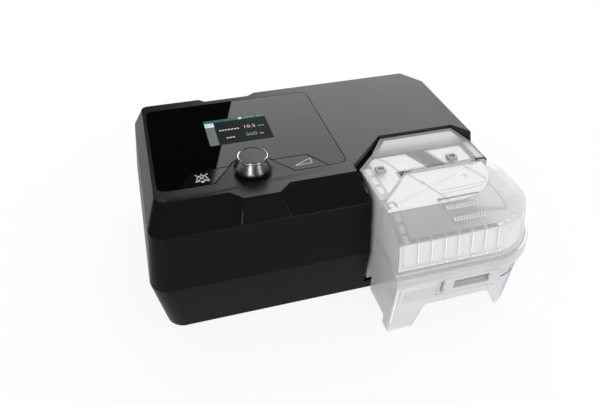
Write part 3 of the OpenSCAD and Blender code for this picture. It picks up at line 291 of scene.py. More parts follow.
def noise_node(tree, scale, detail=2.0, stretch=(1, 1, 1)):
    """A noise on object coordinates; gives its factor socket."""
    place = tree.nodes.new("ShaderNodeTexCoord")
    turn = tree.nodes.new("ShaderNodeMapping")
    turn.inputs["Scale"].default_value = stretch
    tree.links.new(place.outputs["Object"], turn.inputs["Vector"])
    noise = tree.nodes.new("ShaderNodeTexNoise")
    noise.inputs["Detail"].default_value = detail
    if isinstance(scale, (int, float)):
        noise.inputs["Scale"].default_value = scale
    else:
        tree.links.new(scale, noise.inputs["Scale"])
    tree.links.new(turn.outputs[0], noise.inputs["Vector"])
    return noise.outputs[0]


def around_zero(tree, noise, amount):
    """A noise factor turned into a swing of that size, half of it each way."""
    return math_node(tree, "MULTIPLY", math_node(tree, "SUBTRACT", noise, 0.5), amount)


def bump_node(tree, height, depth, distance):
    """A bump from a height socket; gives its normal socket."""
    bump = tree.nodes.new("ShaderNodeBump")
    bump.inputs["Distance"].default_value = distance
    tree.links.new(depth, bump.inputs["Strength"])
    tree.links.new(height, bump.inputs["Height"])
    return bump.outputs[0]


# %% Grain of moulded plastic
BROAD_SCALE = 14.0  # patches of 70 mm
GRAIN_HEIGHT = 0.0002  # metres

grain_group, given, put_out = new_group(
    "moulded_grain",
    {"Scale": 2500.0, "Depth": 0.1, "Roughness": 0.4, "Spread": 0.1, "Color": (0.1, 0.1, 0.1, 1), "Fleck": 0.1},
    ("Color", "Roughness", "Normal"),
)
fine = noise_node(grain_group, given["Scale"], 3.0)
broad = noise_node(grain_group, BROAD_SCALE)
gloss = math_node(grain_group, "ADD", given["Roughness"], around_zero(grain_group, broad, given["Spread"]))
flecks = math_node(grain_group, "ADD", around_zero(grain_group, fine, given["Fleck"]), 1.0)
tint = grain_group.nodes.new("ShaderNodeVectorMath")
tint.operation = "SCALE"
grain_group.links.new(given["Color"], tint.inputs[0])
grain_group.links.new(flecks, tint.inputs["Scale"])
grain_group.links.new(tint.outputs[0], put_out["Color"])
grain_group.links.new(gloss, put_out["Roughness"])
grain_group.links.new(bump_node(grain_group, fine, given["Depth"], GRAIN_HEIGHT), put_out["Normal"])
print("group", grain_group.name)

# %% Fine turned lines of machined metal
LINE_SCALE, LINE_STRETCH = 900.0, (0.02, 0.02, 4.0)  # long across, close together upwards
LINE_HEIGHT = 0.00005  # metres
LINE_SPREAD = 0.16

brush_group, given, put_out = new_group(
    "turned_metal", {"Roughness": 0.25, "Depth": 0.1}, ("Roughness", "Normal")
)
rings = noise_node(brush_group, LINE_SCALE, 2.0, LINE_STRETCH)
gloss = math_node(brush_group, "ADD", given["Roughness"], around_zero(brush_group, rings, LINE_SPREAD))
brush_group.links.new(gloss, put_out["Roughness"])
brush_group.links.new(bump_node(brush_group, rings, given["Depth"], LINE_HEIGHT), put_out["Normal"])
print("group", brush_group.name)

# %% [markdown]
# ## Finishes
# Each finish of the machine is one material: moulded plastics from matt to glossy, rubber, foam, metals and
# the clear plastic of the tank. What is the same all over, such as metalness or a metal's colour, is set on
# the shader, and the groups feed what changes over the surface.

# %% Material makers
materials = {}


def start_material(name, color, group, group_values, shader_values):
    """A material with one Principled shader, fed by a node group. Values set sockets by name."""
    material = bpy.data.materials.new(name)
    material.use_nodes = True
    material.diffuse_color = (*color, 1)
    tree = material.node_tree
    shader = tree.nodes["Principled BSDF"]
    shader.inputs["Base Color"].default_value = (*color, 1)
    for socket, value in shader_values.items():
        shader.inputs[socket.replace("_", " ")].default_value = value
    effect = tree.nodes.new("ShaderNodeGroup")
    effect.node_tree = group
    for socket, value in group_values.items():
        effect.inputs[socket].default_value = value
    for output in effect.outputs:
        tree.links.new(output, shader.inputs["Base Color" if output.name == "Color" else output.name])
    materials[name] = material
    return material


def plastic(name, color, roughness, grain=0.1, scale=2500.0, spread=0.08, fleck=0.1, **shader_values):
    """Moulded plastic, rubber or foam with a fine grain."""
    group_values = {"Scale": scale, "Depth": grain, "Roughness": roughness, "Spread": spread, "Fleck": fleck}
    group_values["Color"] = (*color, 1)
    return start_material(name, color, grain_group, group_values, shader_values)


def metal(name, color, roughness, depth=0.1):
    """Machined or pressed metal."""
    group_values = {"Roughness": roughness, "Depth": depth}
    return start_material(name, color, brush_group, group_values, {"Metallic": 1.0})


# %% [markdown]
# The tank is a clear plastic that has gone slightly milky. Real refraction in a dozen thin walls makes
# a noisy picture and hides the ribs, so the walls are partly see-through instead. They are denser where the
# eye meets them at a flat angle, which draws the tank's edges as the real plastic does.

# %% See-through plastic
CLEAR_BLEND = 0.35  # how soon the walls grow dense towards their edges


def clear_plastic(name, color, thin, dense, roughness=0.08):
    """Milky clear plastic; thin is its cover face on, dense its cover at a flat angle."""
    material = plastic(name, color, roughness, grain=0.02, spread=0.04, fleck=0.02)
    tree = material.node_tree
    shader = tree.nodes["Principled BSDF"]
    weight = tree.nodes.new("ShaderNodeLayerWeight")
    weight.inputs["Blend"].default_value = CLEAR_BLEND
    cover = tree.nodes.new("ShaderNodeMapRange")
    cover.inputs["To Min"].default_value = thin
    cover.inputs["To Max"].default_value = dense
    tree.links.new(weight.outputs["Facing"], cover.inputs["Value"])
    tree.links.new(cover.outputs["Result"], shader.inputs["Alpha"])


# %% [markdown]
# Every finish gets its name here. The top is a little browner and glossier than the dark walls below it, and
# the glass and buttons are nearly black, because almost all that shows on them is what they mirror.

# %% The machine's finishes
plastic("top_plastic", (0.0065, 0.0063, 0.0061), 0.33, grain=0.10, fleck=0.3)
plastic("body_plastic", (0.0055, 0.0055, 0.0057), 0.30, grain=0.12, fleck=0.3, Specular_IOR_Level=0.09)
plastic("inner_grey", (0.006, 0.006, 0.006), 0.45, grain=0.15, Specular_IOR_Level=0.2)
plastic(
    "black_glass", (0.0012, 0.0012, 0.0012), 0.02, grain=0.0, spread=0.01, fleck=0.0, Specular_IOR_Level=0.36
)
plastic("button_black", (0.004, 0.004, 0.004), 0.06, grain=0.0, spread=0.02, Specular_IOR_Level=0.38)
plastic("screen", (0.010, 0.012, 0.013), 0.08, grain=0.0)
metal("satin_metal", (0.40, 0.40, 0.41), 0.30)
metal("bright_ring", (0.92, 0.92, 0.93), 0.20, depth=0.02)
plastic("dark_cap", (0.055, 0.054, 0.053), 0.42, grain=0.05)
metal("steel", (0.60, 0.60, 0.61), 0.30)
plastic("board_green", (0.010, 0.075, 0.035), 0.42, spread=0.2, scale=900)
plastic("inner_light", (0.42, 0.43, 0.44), 0.45)
metal("motor_steel", (0.42, 0.42, 0.43), 0.35)
plastic("rubber_black", (0.012, 0.012, 0.012), 0.75, grain=0.3, scale=1500)
plastic("filter_white", (0.78, 0.79, 0.78), 0.9, grain=0.9, scale=1100, fleck=0.3)
plastic("foam_grey", (0.09, 0.09, 0.095), 0.95, grain=1.0, scale=700, fleck=0.8)
metal("heat_metal", (0.66, 0.66, 0.67), 0.28)
plastic("soft_seal", (0.62, 0.64, 0.65), 0.55, grain=0.1)
plastic("dark_trim", (0.36, 0.365, 0.37), 0.35)
plastic("mark_blue", (0.02, 0.13, 0.42), 0.35)
clear_plastic("clear_plastic", (0.70, 0.71, 0.72), 0.30, 0.80)
print(len(materials), "finishes")

# %% [markdown]
# ## The CAD parts' own finish
# The CAD parts carry the right shapes, so most of them stay and only need a surface. A part's material slot
# has the name of its finish, so one loop dresses them all, the screws as well as the casing.

# %% Dress the CAD parts
for node, part in frame["nodes"].items():
    for place in part.material_slots:
        place.material = materials[place.material.name.split(".")[0]]
print(len(frame["nodes"]), "CAD parts dressed")

# %% [markdown]
# ## Moulded edges
# No edge of a real moulding is perfectly sharp. A rounding of half a millimetre catches the light as a thin
# bright line, and that line is what makes a dark box look real. The CAD mesh is loose triangles, so a copy
# is merged, its flat areas are joined, and then only the long sharp edges are beveled.

# %% Rounded copies of CAD parts
SMOOTH_ANGLE = math.radians(32)  # steeper edges stay sharp
BEVEL_ANGLE = math.radians(26)  # steeper edges are rounded
BEVEL_LENGTH = 4.0 * MM  # shorter ones are left
BEVEL_SEGMENTS = 3
MERGE_DISTANCE = 2e-6  # metres
FLAT_ANGLE = math.radians(0.8)  # faces closer in angle are joined


def new_piece(bm, name, body, material):
    """A finished piece from a bmesh, smoothly shaded with its flat areas kept flat. It rides on a body."""
    mesh = bpy.data.meshes.new(name)
    bm.to_mesh(mesh)
    bm.free()
    mesh.materials.append(materials[material])
    mesh.polygons.foreach_set("use_smooth", [True] * len(mesh.polygons))
    mesh.set_sharp_from_angle(angle=SMOOTH_ANGLE)
    piece = bpy.data.objects.new(name, mesh)
    scene.collection.objects.link(piece)
    piece.modifiers.new("even_shading", "WEIGHTED_NORMAL").keep_sharp = True
    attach(piece, body)
    return piece


def merged_copy(node):
    """A CAD part's mesh as a bmesh, with its loose triangles merged and its flat areas joined."""
    bm = bmesh.new()
    bm.from_mesh(frame["nodes"][node].data)
    bmesh.ops.remove_doubles(bm, verts=bm.verts, dist=MERGE_DISTANCE)
    bmesh.ops.dissolve_limit(bm, angle_limit=FLAT_ANGLE, verts=bm.verts, edges=bm.edges)
    return bm


def rounded_copy(node, edge, material):
    """A copy of a CAD part with its long sharp edges rounded by edge millimetres. It replaces the part."""
    bm = merged_copy(node)
    sharp = [
        e for e in bm.edges
        if e.is_manifold and e.calc_face_angle(0) > BEVEL_ANGLE and e.calc_length() > BEVEL_LENGTH
    ]
    bmesh.ops.bevel(
        bm, geom=sharp, affect="EDGES", offset=edge * MM, offset_type="OFFSET",
        segments=BEVEL_SEGMENTS, profile=0.5, material=-1, clamp_overlap=False,
    )
    body = frame["nodes"][node]["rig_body"]
    piece = new_piece(bm, node + "_moulding", body, material)
    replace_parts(piece, node)
    print(f"{piece.name}: {len(sharp)} edges rounded, {len(piece.data.polygons)} faces")


rounded_copy("top_cover", 0.5, "top_plastic")
rounded_copy("middle_frame", 0.35, "body_plastic")
rounded_copy("base_shell", 0.6, "body_plastic")
rounded_copy("bay_liner", 0.3, "inner_grey")
rounded_copy("control_glass", 0.25, "black_glass")

# %% [markdown]
# ## Tools for small flat pieces
# Most of the fine detail is thin plates: printed marks, ribs, bands. Each starts as an outline, one flat
# face of a few points, which is extruded to its thickness. A band along a line gets its outline from the
# line's own points.

# %% Plates, bands and arcs
def arc(cx, cy, radius, start, end, steps):
    """Points on an arc, angles in degrees."""
    turns = [math.radians(start + (end - start) * i / steps) for i in range(steps + 1)]
    return [Vector((cx + radius * math.cos(a), cy + radius * math.sin(a))) for a in turns]


def band_sides(points, width):
    """For each point of a line, the two points beside it at the edges of a band."""
    points = [Vector(p) for p in points]
    pairs = []
    for i, point in enumerate(points):
        before = (point - points[i - 1]).normalized() if i else (points[1] - point).normalized()
        after = (points[i + 1] - point).normalized() if i + 1 < len(points) else before
        along = (before + after).normalized()
        across = Vector((-along.y, along.x)) * width / 2 / max(0.5, along.dot(after))
        pairs.append((point + across, point - across))
    return pairs


def ribbon(points, width):
    """Outline of a band of that width along a line of points."""
    pairs = band_sides(points, width)
    return [p[0] for p in pairs] + [p[1] for p in reversed(pairs)]


def add_plate(bm, outline, low, high, edge=0.0):
    """A plate between two heights, in millimetres. high may be a function of x and y, for a slanted top."""
    face = bm.faces.new([bm.verts.new((p[0] * MM, p[1] * MM, low * MM)) for p in outline])
    made = bmesh.ops.extrude_face_region(bm, geom=[face])["geom"]
    raised = [v for v in made if isinstance(v, bmesh.types.BMVert)]
    for v in raised:
        v.co.z = (high(v.co.x / MM, v.co.y / MM) if callable(high) else high) * MM
    faces = {f for v in raised for f in v.link_faces} | {face}
    bmesh.ops.recalc_face_normals(bm, faces=list(faces))
    if edge:
        rim = {e for v in raised for e in v.link_edges if e.other_vert(v) in raised}
        bmesh.ops.bevel(
            bm, geom=list(rim), affect="EDGES", offset=edge * MM, segments=2, profile=0.5,
            material=-1, clamp_overlap=True,
        )


def plates(name, outlines, low, high, body, material, edge=0.0):
    """One piece made of several plates between the same heights."""
    bm = bmesh.new()
    for outline in outlines:
        add_plate(bm, outline, low, high, edge)
    new_piece(bm, name, body, material)


# %% [markdown]
# ## Groove round the glass
# A thin black groove runs round the panel and its buttons. It could be cut, but it is too narrow for its
# depth to show. A matt black line does as well: the glass's top face is inset by the groove's width, and only
# the ring that this adds is kept.

# %% Groove
GROOVE_W, GROOVE_LIFT = 0.5, 0.02

plastic("groove_black", (0.0015, 0.0015, 0.0015), 0.7, grain=0.05, Specular_IOR_Level=0.05)
bm = merged_copy("control_glass")
bm.normal_update()
flat = [f for f in bm.faces if f.normal.z > 0.99 and f.calc_center_median().z > (top_z - 0.1) * MM]
bmesh.ops.delete(bm, geom=[f for f in bm.faces if f not in flat], context="FACES")
ring = bmesh.ops.inset_region(
    bm, faces=list(bm.faces), use_boundary=True, use_even_offset=True, thickness=GROOVE_W * MM
)["faces"]
bmesh.ops.delete(bm, geom=[f for f in bm.faces if f not in ring], context="FACES")
bmesh.ops.translate(bm, verts=bm.verts, vec=UP * GROOVE_LIFT * MM)
new_piece(bm, "glass_groove", "body", "groove_black")
print(f"groove {GROOVE_W} mm wide, {len(ring)} faces")

# %% [markdown]
# ## Dial
# The dial is turned from metal: a foot with a round edge, a waist that sweeps in, a polished ring and
# a flat dark cap set into it. A lathe makes such a shape from one profile, and so does spin: the profile is
# drawn once as a line of points and turned round the dial's axis.

# %% Dial
SPIN_STEPS = 96
FOOT_ROUND = 1.9  # radius of the foot's edge, millimetres
WAIST_START = 2.6  # height above the foot
WAIST_SWEEP = 0.82  # below 1 the waist curves in
NECK_IN = 0.8  # how far the neck lies inside the ring
RING_ROUND = 0.75


def spun(name, profile, material, node):
    """A piece turned round the dial's axis from (radius, height) points. It replaces a CAD part."""
    bm = bmesh.new()
    line = [bm.verts.new(((dial_x + r) * MM, dial_y * MM, z * MM)) for r, z in profile]
    edges = [bm.edges.new(pair) for pair in zip(line, line[1:])]
    bmesh.ops.spin(
        bm, geom=line + edges, cent=(dial_x * MM, dial_y * MM, 0), axis=(0, 0, 1),
        angle=math.tau, steps=SPIN_STEPS, use_merge=True,
    )
    bmesh.ops.remove_doubles(bm, verts=bm.verts, dist=1e-6)
    bmesh.ops.recalc_face_normals(bm, faces=bm.faces)
    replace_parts(new_piece(bm, name, "dial", material), node)


def round_edge(radius, height, start, end, step, rise=None):
    """Profile points on a round edge, angles in degrees. rise makes it higher or lower than a circle."""
    turns = [math.radians(a) for a in range(start, end, step)]
    return [(radius * math.cos(a), (rise or radius) * math.sin(a) + height) for a in turns]


foot_z, neck_z = dial_low.z, dial_high.z
foot_r = (dial_high.x - dial_low.x) / 2
ring_low, ring_high = node_box("knob_ring")
ring_r = (ring_high.x - ring_low.x) / 2
neck_r = ring_r - NECK_IN
foot_flat = foot_r - FOOT_ROUND
dial_profile = [(0, foot_z), (foot_flat, foot_z)]
dial_profile += [(foot_flat + r, z) for r, z in round_edge(FOOT_ROUND, foot_z + FOOT_ROUND, -75, 1, 15)]
waist_low = foot_z + WAIST_START
dial_profile += [
    (foot_r + (neck_r - foot_r) * share ** WAIST_SWEEP, waist_low + (neck_z - waist_low) * share)
    for share in (0.0, 0.06, 0.14, 0.25, 0.4, 0.6, 0.8, 1.0)
]
dial_profile.append((0, neck_z))
spun("dial_metal_body", dial_profile, "satin_metal", "knob_body")

ring_mid = (ring_low.z + ring_high.z) / 2
ring_half = (ring_high.z - ring_low.z) / 2
ring_profile = [
    (ring_r - RING_ROUND + r, z) for r, z in round_edge(RING_ROUND, ring_mid, -90, 91, 18, ring_half)
]
ring_profile += [(ring_r - 1.25, ring_high.z - 0.25), (ring_r - 1.3, ring_low.z + 0.1), ring_profile[0]]
spun("dial_chrome_ring", ring_profile, "bright_ring", "knob_ring")

cap_r, cap_z = (cap_high.x - cap_low.x) / 2, cap_high.z
cap_profile = [(0, cap_z - 0.15), (cap_r - 0.6, cap_z - 0.1), (cap_r, cap_z - 0.3)]
cap_profile += [(cap_r, cap_low.z), (0, cap_low.z)]
spun("dial_dark_cap", cap_profile, "dark_cap", "knob_cap")
print(f"dial: foot radius {foot_r:.1f}, ring radius {ring_r:.1f} mm")

# %% [markdown]
# ## Screen
# The screen sits right under the glass. What it shows could be an image, but thin plates stay sharp from any
# distance: a title bar, a level bar at the left, rows of short bars, and two numbers. Its light is weak, so
# it is colour more than glow, and it is a little uneven, as a backlight is.

# %% Screen colours
BACKLIGHT_SCALE, BACKLIGHT_LOW = 18.0, 0.8  # size of its uneven patches, and how dim they get


def blend_node(tree, share, first, second):
    """A mix of two plain colours by a socket; gives its colour socket."""
    blend = tree.nodes.new("ShaderNodeMix")
    blend.data_type = "RGBA"
    blend.inputs["A"].default_value = (*first, 1)
    blend.inputs["B"].default_value = (*second, 1)
    tree.links.new(share, blend.inputs["Factor"])
    return blend.outputs["Result"]


def lit(name, color, strength, specular=0.1):
    """A lit colour of the screen."""
    material = plastic(name, color, 0.25, grain=0.0, spread=0.02, fleck=0.0, Specular_IOR_Level=specular)
    tree = material.node_tree
    shader = tree.nodes["Principled BSDF"]
    low = [c * BACKLIGHT_LOW for c in color]
    glow = blend_node(tree, noise_node(tree, BACKLIGHT_SCALE, 1.0), low, color)
    tree.links.new(glow, shader.inputs["Emission Color"])
    shader.inputs["Emission Strength"].default_value = strength


lit("screen_dark", (0.010, 0.011, 0.011), 0.5, specular=0.02)
lit("screen_teal", (0.010, 0.075, 0.075), 0.7)
lit("screen_grey", (0.10, 0.11, 0.115), 0.5)
lit("screen_pale", (0.50, 0.52, 0.53), 0.5)
lit("screen_blue", (0.16, 0.42, 0.66), 0.6)
lit("screen_green", (0.12, 0.30, 0.22), 0.6)
lit("screen_white", (0.42, 0.46, 0.45), 0.6)
print("screen colours ready")

# %% [markdown]
# The plates are laid out as on a sheet of paper, in millimetres from the screen's top left corner. They lie
# in layers a fiftieth of a millimetre apart, so that none flickers through another.

# %% Screen picture
SCREEN_W, SCREEN_D = 57.6, 43.2
PRINT_T = 0.02
screen_left = dial_x - SCREEN_W / 2
screen_top = (screen_low.y + screen_high.y) / 2 + SCREEN_D / 2


def screen_box(left, top, width, depth):
    """A rectangle on the screen; left and top are millimetres from its corner."""
    x, y = screen_left + left, screen_top - top
    return [Vector(p) for p in ((x, y - depth), (x + width, y - depth), (x + width, y), (x, y))]


def dashes(count, step, left, top, width, depth):
    """A row of equal rectangles on the screen."""
    return [screen_box(left + i * step, top, width, depth) for i in range(count)]


title_dashes = dashes(4, 2.4, 38.0, 1.3, 1.6, 1.2) + dashes(3, 2.4, 50.0, 1.3, 1.6, 1.2)
body_dashes = dashes(7, 2.7, 12.0, 18.6, 2.0, 1.5) + dashes(3, 2.7, 16.4, 32.4, 2.0, 1.5)
body_dashes += dashes(2, 1.9, 47.0, 32.6, 1.3, 1.1)
level_spots = [screen_box(1.2, 6.2, 2.0, 4.6), screen_box(5.6, 5.2, 2.2, 2.4)]
for name, boxes, layer, material in (  # a higher layer lies on a lower one
    ("screen_ground", [screen_box(0, 0, SCREEN_W, SCREEN_D)], 0, "screen_dark"),
    ("screen_title_bar", [screen_box(0, 0, SCREEN_W, 4.0)], 1, "screen_teal"),
    ("screen_title_mark", [screen_box(32.6, 0.4, 3.2, 3.2)], 2, "screen_white"),
    ("screen_title_dashes", title_dashes, 2, "screen_green"),
    ("screen_level_head", [screen_box(0.4, 4.6, 8.4, 7.2)], 1, "screen_pale"),
    ("screen_level_spots", level_spots, 2, "screen_blue"),
    ("screen_level_bar", [screen_box(0.4, 11.8, 8.2, 31.0)], 1, "screen_grey"),
    ("screen_word_bars", body_dashes, 1, "screen_white"),
    ("screen_unit_bars", dashes(3, 2.0, 48.0, 19.0, 1.4, 1.2), 1, "screen_green"),
):
    low = top_z + PRINT_T * layer
    plates(name, boxes, low, low + PRINT_T, "body", material)
print(f"screen {SCREEN_W} by {SCREEN_D} mm drawn")

# %% [markdown]
# A number could be built of bars, as on an old calculator, but this screen's numbers are plain type.
# Blender's text object gives that. It is made a mesh before it is moved to its place.

# %% Screen numbers
LETTER_SCALE = 1.42  # text size for a digit one unit high
LETTER_THIN = 0.06  # taken off the strokes' edges, millimetres


def screen_number(name, text, left, base, height, material):
    """A number on the screen, drawn with Blender's own letters."""
    curve = bpy.data.curves.new(name, "FONT")
    curve.body = text
    curve.size = height * LETTER_SCALE * MM
    curve.offset = -LETTER_THIN * MM
    curve.extrude = PRINT_T * MM / 2
    curve.resolution_u = 6
    holder = bpy.data.objects.new(name, curve)
    scene.collection.objects.link(holder)
    bpy.context.view_layer.update()
    mesh = bpy.data.meshes.new_from_object(holder.evaluated_get(bpy.context.evaluated_depsgraph_get()))
    bpy.data.objects.remove(holder)
    place = Vector((screen_left + left, screen_top - base, top_z + PRINT_T * 1.5)) * MM
    mesh.transform(Matrix.Translation(place))
    bm = bmesh.new()
    bm.from_mesh(mesh)
    bmesh.ops.remove_doubles(bm, verts=bm.verts, dist=1e-7)
    bpy.data.meshes.remove(mesh)
    piece = new_piece(bm, name, "body", material)
    print(f"{name}: {len(piece.data.polygons)} faces")


screen_number("screen_number_upper", "10.5", 33.8, 20.6, 4.9, "screen_white")
screen_number("screen_number_lower", "500", 34.1, 34.2, 4.9, "screen_green")

# %% [markdown]
# ## Marks on the two buttons
# The left button silences the alarm: a bell with two crossing strokes. The right one starts the machine
# gently: a rising wedge. Both are printed lines, so each stroke is a band along a few points. Every stroke
# lies a hair above the one before, so that crossing strokes don't share a face.

# %% Button marks
plastic("print_white", (0.52, 0.52, 0.52), 0.5, grain=0.0, spread=0.02, fleck=0.1)
BELL = Vector((-107.3, -14.0))
WEDGE = Vector((-22.5, -13.6))
LINE_W, STROKE_LIFT = 0.75, 0.002


def around(centre, points):
    """Points moved to a centre."""
    return [centre + Vector(p) for p in points]


def button_mark(name, strokes, body):
    """A printed mark on a button, from the outlines of its strokes."""
    bm = bmesh.new()
    for i, outline in enumerate(strokes):
        low = top_z + STROKE_LIFT * i
        add_plate(bm, outline, low, low + PRINT_T)
    new_piece(bm, name, body, "print_white")


bell_side = [(-5.2, -4.0), (-4.4, -1.6), (-3.6, 1.4), (-2.2, 3.1), (0, 3.8)]
bell_lines = [bell_side, [(-x, y) for x, y in bell_side], [(-5.8, -4.0), (5.8, -4.0)], [(0, 3.6), (0, 6.2)]]
bell_lines += [[(-5.2, 5.6), (4.8, -5.0)], [(5.2, 5.6), (-4.2, -3.6)]]
bell_strokes = [ribbon(around(BELL, line), LINE_W) for line in bell_lines]
bell_strokes.append(arc(BELL.x, BELL.y - 5.2, 1.15, 0, 345, 23))
button_mark("mute_mark", bell_strokes, "mute")
wedge_points = around(WEDGE, [(-7.4, -3.6), (7.3, 3.8), (7.2, -3.1), (-7.4, -3.6)])
wedge_strokes = [ribbon(pair, LINE_W) for pair in zip(wedge_points, wedge_points[1:])]
button_mark("ramp_mark", wedge_strokes, "ramp")
print(f"marks: bell {len(bell_strokes)} strokes, wedge {len(wedge_strokes)} strokes")

# %% [markdown]
# ## Water tank
# The tank is the lightest part of the machine. Its clear walls show white and grey inner parts: a white tray
# under the flat top, a slanted plate whose grey is painted shade, bands, a ladder of small white windows and
# fine upright ribs. The clear mouldings are rounded copies of the CAD parts, and what they show is thin
# geometry of its own. A painted picture of it would look flat as soon as the lid is opened.

# %% Clear mouldings of the tank
clear_plastic("clear_lid", (0.86, 0.865, 0.87), 0.04, 0.80, roughness=0.06)
clear_plastic("clear_tub", (0.69, 0.695, 0.70), 0.50, 0.97, roughness=0.12)
for node in ("tank_lid", "tank_rear_top"):
    rounded_copy(node, 0.4, "clear_lid")
for node in ("tank_tub", "tank_latch"):
    rounded_copy(node, 0.4, "clear_tub")


def milky(name, color, roughness=0.45):
    """Milky plastic of the tank's inner parts, which is very smooth."""
    return plastic(name, color, roughness, grain=0.03, fleck=0.03)


milky("milk_white", (0.93, 0.93, 0.93), 0.5)
milky("milk_light", (0.62, 0.625, 0.63))
milky("milk_band", (0.46, 0.465, 0.47))
milky("milk_grey", (0.44, 0.445, 0.45))
milky("milk_dark", (0.27, 0.275, 0.28))
plastic("slit_black", (0.004, 0.004, 0.004), 0.6, grain=0.05)

# %% [markdown]
# Two inner faces carry painted shade: the slanted plate goes from grey at the left to light at the right, and
# the rear flange has a painted shadow, dark at its foot and light at its edge. A mix of two greys along one of
# the object's own axes paints it, and it stays in place when the tank moves.

# %% Painted shade finishes
def shaded(name, axis, start, end, first, last):
    """Milky plastic with painted shade, from one grey to another between two places along an axis, in
    millimetres.
    """
    tree = milky(name, (0.5, 0.5, 0.5)).node_tree
    parts = tree.nodes.new("ShaderNodeSeparateXYZ")
    tree.links.new(tree.nodes.new("ShaderNodeTexCoord").outputs["Object"], parts.inputs[0])
    span = tree.nodes.new("ShaderNodeMapRange")
    span.interpolation_type = "SMOOTHSTEP"
    span.inputs["From Min"].default_value = start * MM
    span.inputs["From Max"].default_value = end * MM
    tree.links.new(parts.outputs[axis], span.inputs["Value"])
    color = blend_node(tree, span.outputs["Result"], [first] * 3, [last] * 3)
    effect = next(n for n in tree.nodes if n.type == "GROUP")
    tree.links.new(color, effect.inputs["Color"])
    print("finish", name)


# painted shade on the slanted plate, and a painted shadow at the foot of the rear flange
shaded("milk_painted_shade", "X", 62, 128, 0.38, 0.66)
shaded("milk_painted_shadow", "Y", -9, 1, 0.22, 0.80)

# %% [markdown]
# Bands and ribs follow the tank's faces, so each face needs a rule that gives a point on it. The lid has
# a flat top with a half-round front, and slants from there down to a wider round rim, so its height at any
# place follows from those two rounds. On an upright wall the point is found by sending a ray to the CAD part.

# %% Surfaces to lay detail on
FLAT = Vector((87.94, -40.0))  # centre of the flat top's round, millimetres
RIM = Vector((108.5, -67.0))  # centre of the rim's round
JOINT = Vector((110.5, -67.5))  # centre of the round where lid and tub meet
ROUND_R, JOINT_R = 45.0, 48.0
RIM_Z, JOINT_Z = 97.0, 69.0
WALL = 2.4  # thickness of the clear walls
LINE_X = tub_low.x + 3.1  # where the inner parts end at the left


def lid_height(x, y, inside=WALL):
    """Height of the lid's surface, or of a surface that much inside it."""
    radius = ROUND_R - inside
    run = RIM - FLAT
    away = Vector((x, y)) - FLAT
    share = (away.y + radius) / run.y
    if x > FLAT.x + run.x * max(0, share):
        a, b, c = run.dot(run), away.dot(run), away.dot(away) - radius * radius
        share = (b - math.sqrt(max(0, b * b - a * c))) / a
    return tank_top - inside - (tank_top - RIM_Z) * min(1, max(0, share))


def ray_tree(node):
    """A CAD part's faces, ready to be met by rays."""
    mesh = frame["nodes"][node].data
    return BVHTree.FromPolygons([v.co for v in mesh.vertices], [tuple(f.vertices) for f in mesh.polygons])


def meet(tree, start, way):
    """Where a ray meets a part, in millimetres; the start where it misses."""
    point = tree.ray_cast(Vector(start) * MM, way)[0]
    return point / MM if point else Vector(start)


lid_rays, tub_rays, rear_rays = ray_tree("tank_lid"), ray_tree("tank_tub"), ray_tree("tank_rear_top")


def under_lid(gap):
    """Places that far under the lid's inner face."""
    return lambda x, y: Vector((x, y, lid_height(x, y) - gap))


def on_lid(lift):
    """Places that far above the lid's outer face."""
    return lambda x, y: Vector((x, y, lid_height(x, y, 0) + lift))


def level_at(z):
    """Places at one height."""
    return lambda x, y: Vector((x, y, z))


def on_front(tree, depth):
    """Places on a part's front wall, that far behind its face."""
    return lambda x, z: meet(tree, (x, -200, z), -FORWARD) - FORWARD * depth


def on_left(depth):
    """Places on the tank's left wall, that far inside its face."""
    return lambda y, z: Vector((tub_low.x + depth, y, z))


# %% [markdown]
# A strip is a band bent onto such a face: it grows edge by edge along its line, and then gets its thickness
# by an extrusion. A sheet is a thin wall bridged between two lines, as a sail between two ropes.

# %% Strips and lofted sheets
STRIP_STEP = 3.0  # longest piece between two bends
SHEET_T = 0.4


def strip(bm, points, width, place, out, thick=0.25):
    """A band along a line on any surface. place turns two coordinates into a point; out is its way up."""
    line = [Vector(points[0])]
    for end in points[1:]:
        start, end = line[-1], Vector(end)
        pieces = max(1, math.ceil((end - start).length / STRIP_STEP))
        line += [start.lerp(end, (i + 1) / pieces) for i in range(pieces)]
    pairs = band_sides(line, width)
    ends = [bm.verts.new(place(*p) * MM) for p in pairs[0]]
    edge = bm.edges.new(ends)
    faces = []
    for pair in pairs[1:]:
        made = bmesh.ops.extrude_edge_only(bm, edges=[edge])["geom"]
        fresh = [v for v in made if isinstance(v, bmesh.types.BMVert)]
        faces += [f for f in made if isinstance(f, bmesh.types.BMFace)]
        ends = [next(v for v in fresh if bm.edges.get((v, old))) for old in ends]
        for v, p in zip(ends, pair):
            v.co = place(*p) * MM
        edge = bm.edges.get(ends)
    made = bmesh.ops.extrude_face_region(bm, geom=faces)["geom"]
    raised = [v for v in made if isinstance(v, bmesh.types.BMVert)]
    bmesh.ops.translate(bm, verts=raised, vec=out * thick * MM)
    bmesh.ops.recalc_face_normals(bm, faces=list({f for v in raised for f in v.link_faces} | set(faces)))


def strips(name, lines, width, place, out, body, material, thick=0.25):
    """One piece made of several strips."""
    bm = bmesh.new()
    for line in lines:
        strip(bm, line, width, place, out, thick)
    new_piece(bm, name, body, material)


def sheet(name, low_line, low_z, high_line, high_z, body, material):
    """A thin wall bridged between two lines at two heights."""
    bm = bmesh.new()
    loops = []
    for line, z in ((low_line, low_z), (high_line, high_z)):
        verts = [bm.verts.new((p[0] * MM, p[1] * MM, z * MM)) for p in line]
        loops += [bm.edges.new(pair) for pair in zip(verts, verts[1:])]
    faces = bmesh.ops.bridge_loops(bm, edges=loops)["faces"]
    bmesh.ops.solidify(bm, geom=faces, thickness=SHEET_T * MM)
    bmesh.ops.recalc_face_normals(bm, faces=bm.faces)
    new_piece(bm, name, body, material)


def front_round(centre, radius):
    """The tank's front line: straight from the left wall, then round to the right."""
    return [Vector((LINE_X, centre.y - radius))] + arc(centre.x, centre.y, radius, -90, -4, 22)
